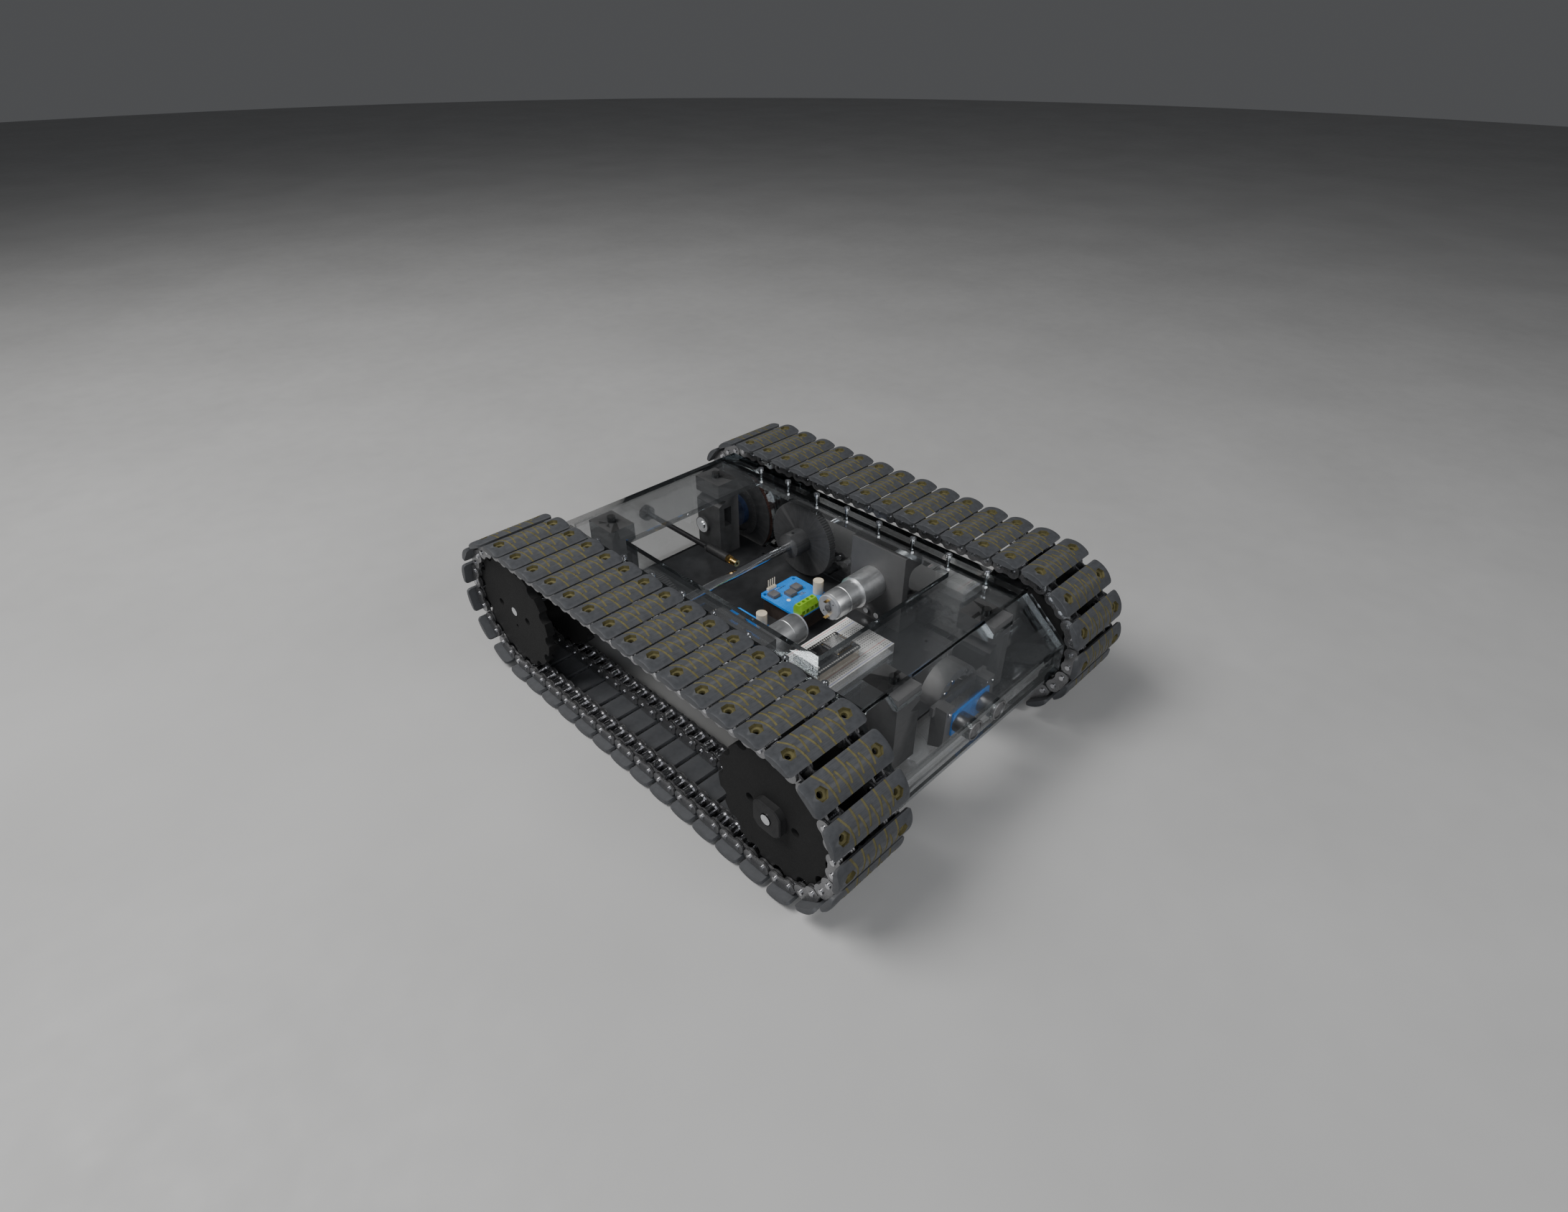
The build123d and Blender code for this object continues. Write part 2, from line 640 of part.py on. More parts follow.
export_step(nose_hood.part, "parts/nose_hood.step")

with BuildPart() as side_walls:
    for side in SIDES.values():
        with BuildSketch(across(side, BODY_HALF)):
            with BuildLine():
                Polyline(
                    (BODY_BACK, FLOOR_BOTTOM),
                    (BODY_BACK, DECK_BOTTOM),
                    (NOSE_Y + (DECK_BOTTOM - NOSE_TOP_Z) / NOSE_SLOPE, DECK_BOTTOM),
                    (NOSE_Y, NOSE_TOP_Z),
                    (NOSE_Y, NOSE_LOW_Z),
                    (FLOOR_FRONT, FLOOR_BOTTOM),
                    close=True,
                )
            make_face()
            with Locations((HALF_BASE, AXLE_Z)):
                Circle(PULLEY_CUTOUT_R, mode=Mode.SUBTRACT)
            with Locations((-HALF_BASE, AXLE_Z)):
                Circle(FRONT_AXLE_HOLE_R, mode=Mode.SUBTRACT)
            with Locations((CROSS_Y, CROSS_Z)):
                Circle(AXLE_R + RUNNING, mode=Mode.SUBTRACT)
        extrude(amount=side * WALL_T)
        with BuildSketch(Plane.XY.offset(FLANGE_BOTTOM)):
            with Locations((side * (FLANGE_INNER + BODY_HALF) / 2, (BODY_BACK + PLATE_FRONT) / 2)):
                Rectangle(BODY_HALF - FLANGE_INNER, BODY_BACK - PLATE_FRONT)
        extrude(amount=DECK_BOTTOM - FLANGE_BOTTOM)
        with BuildSketch(Plane.XY.offset(DECK_BOTTOM)):
            with Locations(*[(side * DECK_SCREW_X, y) for y in DECK_SCREWS_Y]):
                Circle(SCREW_R + RUNNING)
        extrude(amount=FLANGE_BOTTOM - DECK_BOTTOM, mode=Mode.SUBTRACT)
side_walls.part.label = "side_walls"
export_step(side_walls.part, "parts/side_walls.step")

with BuildPart() as rear_wall:
    with BuildSketch(Plane.XZ.offset(-REAR_WALL_FRONT)):
        with Locations((0, (FLOOR_TOP + DECK_BOTTOM) / 2)):
            Rectangle(2 * REAR_WALL_HALF, DECK_BOTTOM - FLOOR_TOP)
        with Locations((0, ANTENNA_Z)):
            Circle(ANTENNA_R + RUNNING, mode=Mode.SUBTRACT)
    extrude(amount=REAR_WALL_FRONT - BODY_BACK)
rear_wall.part.label = "rear_wall"
export_step(rear_wall.part, "parts/rear_wall.step")

with BuildPart() as top_plate:
    with BuildSketch(Plane.XY.offset(DECK_BOTTOM)):
        with Locations((0, (PLATE_FRONT + BODY_BACK) / 2)):
            Rectangle(2 * WALL_OUT, BODY_BACK - PLATE_FRONT)
        with Locations((0, sum(WINDOW_Y) / 2)):
            Rectangle(2 * WINDOW_HALF, WINDOW_Y[1] - WINDOW_Y[0], mode=Mode.SUBTRACT)
        for side in SIDES.values():
            with Locations(*[(side * DECK_SCREW_X, y) for y in DECK_SCREWS_Y]):
                Circle(SCREW_R + RUNNING, mode=Mode.SUBTRACT)
            for bolt_x, bolt_y in (FRONT_POST_BOLT, REAR_POST_BOLT):
                with Locations((side * bolt_x, bolt_y)):
                    Circle(POST_BOLT_R, mode=Mode.SUBTRACT)
    extrude(amount=DECK_T)
top_plate.part.label = "top_plate"
export_step(top_plate.part, "parts/top_plate.step")

# ---- deck screws and nuts --------------------------------------------------------
DECK_SCREW_TIP = 107.0

with BuildPart() as deck_screws:
    for side in SIDES.values():
        places = [(side * DECK_SCREW_X, y) for y in DECK_SCREWS_Y]
        with BuildSketch(Plane.XY.offset(DECK_SCREW_TIP)):
            with Locations(*places):
                Circle(SCREW_R)
        extrude(amount=DECK_TOP - DECK_SCREW_TIP)
        with BuildSketch(Plane.XY.offset(DECK_TOP)):
            with Locations(*places):
                Circle(SCREW_HEAD_R)
        extrude(amount=SCREW_HEAD_H)
        with BuildSketch(Plane.XY.offset(DECK_TOP + SCREW_HEAD_H)):
            with Locations(*places):
                RegularPolygon(SOCKET_R, 6)
        extrude(amount=-SOCKET_DEPTH, mode=Mode.SUBTRACT)
        free = [place for place in places if not BRACKET_Y[0] < place[1] < BRACKET_Y[1]]
        with BuildSketch(Plane.XY.offset(FLANGE_BOTTOM)):
            with Locations(*free):
                RegularPolygon(NUT_R, 6)
                Circle(SCREW_R + RUNNING, mode=Mode.SUBTRACT)
        extrude(amount=-NUT_H)
deck_screws.part.label = "deck_screws"
export_step(deck_screws.part, "parts/deck_screws.step")

# ---- bearing posts ---------------------------------------------------------------
POST_SHOULDER = 95.0
POST_CAP = 104.0
POST_NOTCH = 9.0
POST_BOLT_DEPTH = 18.0
POST_BOSS_R = 8.7
POST_BOSS_T = 3.0
BEARING_R = 8.0
BEARING_T = 5.0
AXLE_TUNNEL_R = 5.5
SLOT_X = (56.0, 65.0)
SLOT_Z = (72.0, 92.0)
SLOT_DEPTH = 10.0
POSTS = (
    (FRONT_POST_X, FRONT_POST_Y, -HALF_BASE, FRONT_POST_BOLT),
    (REAR_POST_X, REAR_POST_Y, HALF_BASE, REAR_POST_BOLT),
)

with BuildPart() as bearing_posts:
    for side in SIDES.values():
        for (inner, outer), (front, back), axle_y, (bolt_x, bolt_y) in POSTS:
            with BuildSketch(Plane.XZ.offset(-front)):
                with BuildLine():
                    Polyline(
                        (side * inner, FLOOR_TOP),
                        (side * outer, FLOOR_TOP),
                        (side * outer, DECK_BOTTOM),
                        (side * inner, DECK_BOTTOM),
                        (side * inner, POST_CAP),
                        (side * (inner + POST_NOTCH), (POST_CAP + POST_SHOULDER) / 2),
                        (side * inner, POST_SHOULDER),
                        close=True,
                    )
                make_face()
            extrude(amount=front - back)
            with BuildSketch(across(side, inner)):
                with Locations((axle_y, AXLE_Z)):
                    Circle(POST_BOSS_R)
            extrude(amount=-side * POST_BOSS_T)
            with BuildSketch(across(side, inner - POST_BOSS_T)):
                with Locations((axle_y, AXLE_Z)):
                    Circle(AXLE_TUNNEL_R)
            extrude(amount=side * (outer - inner + POST_BOSS_T), mode=Mode.SUBTRACT)
            for x in (inner - POST_BOSS_T, outer - BEARING_T):
                with BuildSketch(across(side, x)):
                    with Locations((axle_y, AXLE_Z)):
                        Circle(BEARING_R + RUNNING)
                extrude(amount=side * BEARING_T, mode=Mode.SUBTRACT)
            with BuildSketch(Plane.XY.offset(DECK_BOTTOM)):
                with Locations((side * bolt_x, bolt_y)):
                    Circle(POST_BOLT_R)
            extrude(amount=-POST_BOLT_DEPTH, mode=Mode.SUBTRACT)
        with BuildSketch(across(side, FRONT_POST_X[0])):
            with BuildLine():
                Polyline(
                    (FLOOR_FRONT, FLOOR_BOTTOM),
                    (NOSE_Y, FLOOR_BOTTOM),
                    (NOSE_Y, belly_top(NOSE_Y)),
                    (FLOOR_FRONT, belly_top(FLOOR_FRONT)),
                    close=True,
                )
            make_face()
        extrude(amount=side * (FRONT_POST_X[1] - FRONT_POST_X[0]), mode=Mode.SUBTRACT)
        with BuildSketch(Plane.XZ.offset(-REAR_POST_Y[0])):
            with Locations((side * sum(SLOT_X) / 2, sum(SLOT_Z) / 2)):
                Rectangle(SLOT_X[1] - SLOT_X[0], SLOT_Z[1] - SLOT_Z[0])
        extrude(amount=-SLOT_DEPTH, mode=Mode.SUBTRACT)
bearing_posts.part.label = "bearing_posts"
export_step(bearing_posts.part, "parts/bearing_posts.step")

with BuildPart() as bearings:
    for side in SIDES.values():
        for (inner, outer), _, axle_y, _ in POSTS:
            for x in (inner - POST_BOSS_T, outer - BEARING_T):
                with BuildSketch(across(side, x)):
                    with Locations((axle_y, AXLE_Z)):
                        Circle(BEARING_R)
                        Circle(AXLE_R + RUNNING, mode=Mode.SUBTRACT)
                extrude(amount=side * BEARING_T)
bearings.part.label = "bearings"
export_step(bearings.part, "parts/bearings.step")

# ---- range sensor and its bracket ------------------------------------------------
BRACE_FRONT = -195.4
BRACE_BAR_Y = (-186.0, -183.0)
BRACE_HALF = 33.0
BRACE_BAR_Z = (84.0, 92.0)
LEG_X = (20.0, 30.0)
ARCH_Z = 82.0
ARCH_R = 25.0
ARCH_BORE = 17.0
ARCH_DEPTH = 16.0
SENSOR_BOARD = (45.0, 20.0)
BOARD_T = 1.6
SENSOR_FACE = -211.8

with BuildPart() as sensor_bracket:
    with BuildSketch(Plane.XZ.offset(-BRACE_BAR_Y[0])):
        with Locations((0, sum(BRACE_BAR_Z) / 2)):
            Rectangle(2 * BRACE_HALF, BRACE_BAR_Z[1] - BRACE_BAR_Z[0])
    extrude(amount=BRACE_BAR_Y[0] - BRACE_BAR_Y[1])
    for side in SIDES.values():
        with BuildSketch(across(side, LEG_X[0])):
            with BuildLine():
                Polyline(
                    (BRACE_FRONT, belly_top(BRACE_FRONT)),
                    (BRACE_BAR_Y[1], belly_top(BRACE_BAR_Y[1])),
                    (BRACE_BAR_Y[1], BRACE_BAR_Z[1]),
                    (BRACE_FRONT, BRACE_BAR_Z[1]),
                    close=True,
                )
            make_face()
        extrude(amount=side * (LEG_X[1] - LEG_X[0]))
    with BuildSketch(Plane.XZ.offset(-BRACE_BAR_Y[1])):
        with Locations((0, ARCH_Z)):
            Circle(ARCH_R)
            Circle(ARCH_BORE, mode=Mode.SUBTRACT)
        with Locations((0, BRACE_BAR_Z[0])):
            Rectangle(2 * ARCH_R, 2 * ARCH_R, align=(Align.CENTER, Align.MAX), mode=Mode.SUBTRACT)
    extrude(amount=-ARCH_DEPTH)
sensor_bracket.part.label = "sensor_bracket"
export_step(sensor_bracket.part, "parts/sensor_bracket.step")

with BuildPart() as sensor_cans:
    with BuildSketch(Plane.XZ.offset(-(BRACE_FRONT - BOARD_T))):
        with Locations((-SENSOR_X, SENSOR_Z), (SENSOR_X, SENSOR_Z)):
            Circle(SENSOR_R)
    extrude(amount=BRACE_FRONT - BOARD_T - SENSOR_FACE)
sensor_cans.part.label = "sensor_cans"
export_step(sensor_cans.part, "parts/sensor_cans.step")

# ---- circuit boards --------------------------------------------------------------
DRIVER_X = (-61.0, 10.0)    # low corner of each motor driver
DRIVER_Y = -14.0
DRIVER_SIZE = (45.0, 51.0)
DRIVER_CORNER = 3.0
DRIVER_BOTTOM = 58.0
DRIVER_T = 2.0
DRIVER_TOP = DRIVER_BOTTOM + DRIVER_T
DRIVER_HOLE_IN = 4.0
DRIVER_HOLE_R = 1.6
BLOCK_IN = 3.0

with BuildPart() as circuit_boards:
    for x in DRIVER_X:
        with BuildSketch(Plane.XY.offset(DRIVER_BOTTOM)) as outline:
            with Locations((x + DRIVER_SIZE[0] / 2, DRIVER_Y + DRIVER_SIZE[1] / 2)):
                Rectangle(*DRIVER_SIZE)
            chamfer(outline.vertices(), DRIVER_CORNER)
            with Locations((x + DRIVER_SIZE[0] / 2, DRIVER_Y + DRIVER_SIZE[1] / 2)):
                with GridLocations(
                    DRIVER_SIZE[0] - 2 * DRIVER_HOLE_IN, DRIVER_SIZE[1] - 2 * DRIVER_HOLE_IN, 2, 2
                ):
                    Circle(DRIVER_HOLE_R, mode=Mode.SUBTRACT)
        extrude(amount=DRIVER_T)
    with BuildSketch(Plane.XZ.offset(-BRACE_FRONT)):
        with Locations((0, SENSOR_Z)):
            Rectangle(*SENSOR_BOARD)
    extrude(amount=BOARD_T)
circuit_boards.part.label = "circuit_boards"
export_step(circuit_boards.part, "parts/circuit_boards.step")

with BuildPart() as driver_blocks:
    with BuildSketch(Plane.XY.offset(FLOOR_TOP)):
        for x in DRIVER_X:
            with Locations((x + DRIVER_SIZE[0] / 2, DRIVER_Y + DRIVER_SIZE[1] / 2)):
                Rectangle(DRIVER_SIZE[0] - 2 * BLOCK_IN, DRIVER_SIZE[1] - 2 * BLOCK_IN)
    extrude(amount=DRIVER_BOTTOM - FLOOR_TOP)
driver_blocks.part.label = "driver_blocks"
export_step(driver_blocks.part, "parts/driver_blocks.step")

TERMINAL_FROM = 2.0         # from the board's low corner, along X
TERMINAL_WAYS = 4
TERMINAL_PITCH = 5.5
TERMINAL_Y = (-14.5, -4.5)
TERMINAL_H = 10.0
TERMINAL_FRONT_H = 5.5
TERMINAL_BACK_H = 6.5
TERMINAL_TOP_IN = (3.0, 2.0)
WAY_SCREW_IN = 5.5
WAY_SCREW_R = 1.7
WAY_SCREW_DEPTH = 2.5
WAY_MOUTH = 3.4
WAY_MOUTH_UP = 3.0
WAY_MOUTH_DEPTH = 4.0

with BuildPart() as driver_terminals:
    for x in DRIVER_X:
        first = x + TERMINAL_FROM
        length = TERMINAL_WAYS * TERMINAL_PITCH
        with BuildSketch(Plane.YZ.offset(first)):
            with BuildLine():
                Polyline(
                    (TERMINAL_Y[0], DRIVER_TOP),
                    (TERMINAL_Y[1], DRIVER_TOP),
                    (TERMINAL_Y[1], DRIVER_TOP + TERMINAL_BACK_H),
                    (TERMINAL_Y[1] - TERMINAL_TOP_IN[1], DRIVER_TOP + TERMINAL_H),
                    (TERMINAL_Y[0] + TERMINAL_TOP_IN[0], DRIVER_TOP + TERMINAL_H),
                    (TERMINAL_Y[0], DRIVER_TOP + TERMINAL_FRONT_H),
                    close=True,
                )
            make_face()
        extrude(amount=length)
        ways = [first + (i + 0.5) * TERMINAL_PITCH for i in range(TERMINAL_WAYS)]
        with BuildSketch(Plane.XY.offset(DRIVER_TOP + TERMINAL_H)):
            with Locations(*[(way, TERMINAL_Y[0] + WAY_SCREW_IN) for way in ways]):
                Circle(WAY_SCREW_R)
        extrude(amount=-WAY_SCREW_DEPTH, mode=Mode.SUBTRACT)
        with BuildSketch(Plane.XZ.offset(-TERMINAL_Y[0])):
            with Locations(*[(way, DRIVER_TOP + WAY_MOUTH_UP) for way in ways]):
                Rectangle(WAY_MOUTH, WAY_MOUTH)
        extrude(amount=-WAY_MOUTH_DEPTH, mode=Mode.SUBTRACT)
driver_terminals.part.label = "driver_terminals"
export_step(driver_terminals.part, "parts/driver_terminals.step")

CAPACITOR_AT = (40.5, 15.5)
CAPACITOR_R = 4.8
CAPACITOR_H = 13.0

with BuildPart() as driver_capacitors:
    with BuildSketch(Plane.XY.offset(DRIVER_TOP)):
        with Locations(*[(x + CAPACITOR_AT[0], DRIVER_Y + CAPACITOR_AT[1]) for x in DRIVER_X]):
            Circle(CAPACITOR_R)
    extrude(amount=CAPACITOR_H)
driver_capacitors.part.label = "driver_capacitors"
export_step(driver_capacitors.part, "parts/driver_capacitors.step")

CHIPS_AT = ((8.2, 40.0), (20.6, 31.0), (31.0, 34.0))
CHIP_SIZE = (8.5, 8.5)
CHIP_H = 3.0

with BuildPart() as driver_chips:
    with BuildSketch(Plane.XY.offset(DRIVER_TOP)):
        with Locations(*[(x + u, DRIVER_Y + v) for x in DRIVER_X for u, v in CHIPS_AT]):
            Rectangle(*CHIP_SIZE)
    extrude(amount=CHIP_H)
driver_chips.part.label = "driver_chips"
export_step(driver_chips.part, "parts/driver_chips.step")

# ---- breadboard and controller ---------------------------------------------------
BREAD_X = (-30.0, 52.0)
BREAD_Y = (-87.0, -32.5)
BREAD_H = 9.0
BREAD_NOTCH = (3.0, 4.0)
BREAD_NOTCH_IN = 12.0
CONTROL_X = (-34.0, 18.0)
CONTROL_Y = (-78.0, -49.0)
CONTROL_TOP = 60.0
CONTROL_PINS = 19
PIN_PITCH = 2.54
PIN_HALF_WIDTH = 0.32
HEADER_H = 2.5
CONTROL_CORNER = 1.5
MODULE_SIZE = (16.0, 17.6)
MODULE_H = 3.0
MODULE_IN = 14.0            # module's middle, in from the board's end
USB_SIZE = (7.5, 8.0)
USB_H = 2.7
USB_IN = 3.0

with BuildPart() as breadboard:
    with BuildSketch(Plane.XY.offset(FLOOR_TOP)):
        with Locations((sum(BREAD_X) / 2, sum(BREAD_Y) / 2)):
            Rectangle(BREAD_X[1] - BREAD_X[0], BREAD_Y[1] - BREAD_Y[0])
        for y in (BREAD_Y[0] + BREAD_NOTCH_IN, BREAD_Y[1] - BREAD_NOTCH_IN):
            with Locations((BREAD_X[1], y)):
                Rectangle(*BREAD_NOTCH, mode=Mode.SUBTRACT)
    extrude(amount=BREAD_H)
breadboard.part.label = "breadboard"
export_step(breadboard.part, "parts/breadboard.step")

CONTROL_MIDDLE = (sum(CONTROL_X) / 2, sum(CONTROL_Y) / 2)
CONTROL_SIZE = (CONTROL_X[1] - CONTROL_X[0], CONTROL_Y[1] - CONTROL_Y[0])
ROW_GAP = 10 * PIN_PITCH

with BuildPart() as controller_board:
    with BuildSketch(Plane.XY.offset(CONTROL_TOP)):
        with Locations(CONTROL_MIDDLE):
            RectangleRounded(*CONTROL_SIZE, CONTROL_CORNER)
    extrude(amount=-BOARD_T)
controller_board.part.label = "controller_board"
export_step(controller_board.part, "parts/controller_board.step")

with BuildPart() as controller_shields:
    with BuildSketch(Plane.XY.offset(CONTROL_TOP)):
        with Locations((CONTROL_X[1] - MODULE_IN, CONTROL_MIDDLE[1])):
            Rectangle(*MODULE_SIZE)
    extrude(amount=MODULE_H)
    with BuildSketch(Plane.XY.offset(CONTROL_TOP)):
        with Locations((CONTROL_X[0] + USB_IN, CONTROL_MIDDLE[1])):
            Rectangle(*USB_SIZE)
    extrude(amount=USB_H)
controller_shields.part.label = "controller_shields"
export_step(controller_shields.part, "parts/controller_shields.step")

HEADER_AT = (14.6, 49.5)
HEADER_WAYS = 4
HEADER_TOP = 71.0

with BuildPart() as pin_headers:
    for x in DRIVER_X:
        with BuildSketch(Plane.XY.offset(DRIVER_TOP)):
            with Locations((x + HEADER_AT[0], DRIVER_Y + HEADER_AT[1])):
                Rectangle(HEADER_WAYS * PIN_PITCH, PIN_PITCH)
        extrude(amount=HEADER_H)
        with BuildSketch(Plane.XY.offset(DRIVER_TOP)):
            with Locations((x + HEADER_AT[0], DRIVER_Y + HEADER_AT[1])):
                with GridLocations(PIN_PITCH, PIN_PITCH, HEADER_WAYS, 1):
                    Rectangle(2 * PIN_HALF_WIDTH, 2 * PIN_HALF_WIDTH)
        extrude(amount=HEADER_TOP - DRIVER_TOP)
    with BuildSketch(Plane.XY.offset(CONTROL_TOP - BOARD_T)):
        with Locations(CONTROL_MIDDLE):
            with GridLocations(PIN_PITCH, ROW_GAP, 1, 2):
                Rectangle(CONTROL_PINS * PIN_PITCH, PIN_PITCH)
    extrude(amount=-(CONTROL_TOP - BOARD_T - FLOOR_TOP - BREAD_H))
pin_headers.part.label = "pin_headers"
export_step(pin_headers.part, "parts/pin_headers.step")

# ---- antenna ---------------------------------------------------------------------
CONNECTOR_Y = (54.0, 66.0)
CONNECTOR_R = 3.2
CONNECTOR_BORE_R = 1.2
CONNECTOR_NUT_R = 3.9
CONNECTOR_NUT_L = 5.0
ROD_THICK_END = 92.0
ROD_THICK_R = 4.2
ROD_TAPER = 4.0
KNOB_Y = (180.0, 189.0)
KNOB_R = 7.6
KNOB_CHAMFER = 2.0

with BuildPart() as antenna_connector:
    with BuildSketch(Plane.XZ.offset(-CONNECTOR_Y[1])):
        with Locations((0, ANTENNA_Z)):
            Circle(CONNECTOR_R)
            Circle(CONNECTOR_BORE_R, mode=Mode.SUBTRACT)
    extrude(amount=CONNECTOR_Y[1] - CONNECTOR_Y[0])
    with BuildSketch(Plane.XZ.offset(-CONNECTOR_Y[1])):
        with Locations((0, ANTENNA_Z)):
            RegularPolygon(CONNECTOR_NUT_R, 6)
    extrude(amount=CONNECTOR_NUT_L)
antenna_connector.part.label = "antenna_connector"
export_step(antenna_connector.part, "parts/antenna_connector.step")

with BuildPart() as antenna_rod:
    with BuildSketch(Plane.YZ):
        with BuildLine():
            Polyline(
                (CONNECTOR_Y[1], ANTENNA_Z),
                (CONNECTOR_Y[1], ANTENNA_Z + ROD_THICK_R),
                (ROD_THICK_END, ANTENNA_Z + ROD_THICK_R),
                (ROD_THICK_END + ROD_TAPER, ANTENNA_Z + ANTENNA_R),
                (KNOB_Y[0], ANTENNA_Z + ANTENNA_R),
                (KNOB_Y[0], ANTENNA_Z + KNOB_R - KNOB_CHAMFER),
                (KNOB_Y[0] + KNOB_CHAMFER, ANTENNA_Z + KNOB_R),
                (KNOB_Y[1] - KNOB_CHAMFER, ANTENNA_Z + KNOB_R),
                (KNOB_Y[1], ANTENNA_Z + KNOB_R - KNOB_CHAMFER),
                (KNOB_Y[1], ANTENNA_Z),
                close=True,
            )
        make_face()
    revolve(axis=Axis((0, 0, ANTENNA_Z), (0, 1, 0)))
antenna_rod.part.label = "antenna_rod"
export_step(antenna_rod.part, "parts/antenna_rod.step")

# ---- small screws of the brackets ------------------------------------------------
BRACKET_SCREW_Z = 47.0
BRACKET_SCREWS_Y = (-48.0, -36.0)
ARCH_SCREW_AT = 21.0
ARCH_SCREW_ANGLES = (37, 65, 115, 143)
LEG_SCREW_IN = 3.2
LEG_SCREW_UP = 4.5
SMALL_HEAD_R = 1.9
SMALL_HEAD_H = 1.5

with BuildPart() as small_screws:
    for side in SIDES.values():
        with BuildSketch(across(side, BRACKET_X[0])):
            with Locations(*[(y, BRACKET_SCREW_Z) for y in BRACKET_SCREWS_Y]):
                Circle(SCREW_HEAD_R)
        extrude(amount=-side * SCREW_HEAD_H)
        with BuildSketch(Plane.XZ.offset(-BRACE_FRONT)):
            with Locations((side * (LEG_X[1] - LEG_SCREW_IN), BRACE_BAR_Z[0] + LEG_SCREW_UP)):
                Circle(SMALL_HEAD_R)
        extrude(amount=SMALL_HEAD_H)
    with BuildSketch(Plane.XZ.offset(-BRACE_BAR_Y[1])):
        with Locations((0, ARCH_Z)):
            for angle in ARCH_SCREW_ANGLES:
                with PolarLocations(ARCH_SCREW_AT, 1, start_angle=angle):
                    Circle(SMALL_HEAD_R)
    extrude(amount=SMALL_HEAD_H)
small_screws.part.label = "small_screws"
export_step(small_screws.part, "parts/small_screws.step")
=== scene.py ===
from math import cos, pi, radians, sin, sqrt

import bmesh
import bpy
from mathutils import Euler, Matrix, Vector


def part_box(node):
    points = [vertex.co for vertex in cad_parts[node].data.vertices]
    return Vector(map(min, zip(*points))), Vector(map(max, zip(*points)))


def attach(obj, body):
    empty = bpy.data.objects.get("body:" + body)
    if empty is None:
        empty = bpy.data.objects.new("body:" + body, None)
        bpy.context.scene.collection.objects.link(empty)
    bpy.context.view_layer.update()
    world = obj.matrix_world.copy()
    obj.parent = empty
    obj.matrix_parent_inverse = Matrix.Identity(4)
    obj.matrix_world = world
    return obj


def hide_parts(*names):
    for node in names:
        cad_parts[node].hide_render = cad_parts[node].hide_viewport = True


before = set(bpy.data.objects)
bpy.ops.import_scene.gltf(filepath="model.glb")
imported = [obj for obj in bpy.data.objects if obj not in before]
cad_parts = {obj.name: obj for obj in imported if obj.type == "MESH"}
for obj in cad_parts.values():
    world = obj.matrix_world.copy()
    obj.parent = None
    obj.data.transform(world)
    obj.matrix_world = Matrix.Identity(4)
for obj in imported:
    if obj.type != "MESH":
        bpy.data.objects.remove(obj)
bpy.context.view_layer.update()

MM = 0.001
SIDES = {"right": -1, "left": 1}
AXLE_Z = 68 * MM


# ---- places read from the frame --------------------------------------------------
def span(node):
    """Lowest corner, highest corner and middle of a CAD node."""
    low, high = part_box(node)
    low, high = Vector(low), Vector(high)
    return low, high, (low + high) / 2


# ---- materials -------------------------------------------------------------------
def blank_material(name):
    material = bpy.data.materials.new(name)
    material.use_nodes = True
    nodes, links = material.node_tree.nodes, material.node_tree.links
    return material, nodes, links, nodes["Principled BSDF"]


def noise(nodes, links, scale, detail=4.0, stretch=None):
    """A noise texture in frame metres; stretch pulls it out along one axis."""
    place = nodes.new("ShaderNodeTexCoord")
    made = nodes.new("ShaderNodeTexNoise")
    made.inputs["Scale"].default_value = scale
    made.inputs["Detail"].default_value = detail
    if stretch:
        mapping = nodes.new("ShaderNodeMapping")
        mapping.inputs["Scale"].default_value = stretch
        links.new(place.outputs["Object"], mapping.inputs["Vector"])
        links.new(mapping.outputs["Vector"], made.inputs["Vector"])
    else:
        links.new(place.outputs["Object"], made.inputs["Vector"])
    return made.outputs["Fac"]


def remap(nodes, links, source, low, high, start=0.3, end=0.7):
    made = nodes.new("ShaderNodeMapRange")
    made.inputs["From Min"].default_value = start
    made.inputs["From Max"].default_value = end
    made.inputs["To Min"].default_value = low
    made.inputs["To Max"].default_value = high
    links.new(source, made.inputs["Value"])
    return made.outputs["Result"]


def blend_tones(nodes, links, factor, first, second):
    """first and second are colours, or the first is a socket."""
    mix = nodes.new("ShaderNodeMix")
    mix.data_type = "RGBA"
    colours = [socket for socket in mix.inputs if socket.type == "RGBA"]
    for socket, tone in zip(colours, (first, second)):
        if isinstance(tone, tuple):
            socket.default_value = (*tone, 1)
        else:
            links.new(tone, socket)
    links.new(factor, mix.inputs["Factor"])
    return next(socket for socket in mix.outputs if socket.type == "RGBA")


GRAINS_PER_MOTTLE = 9


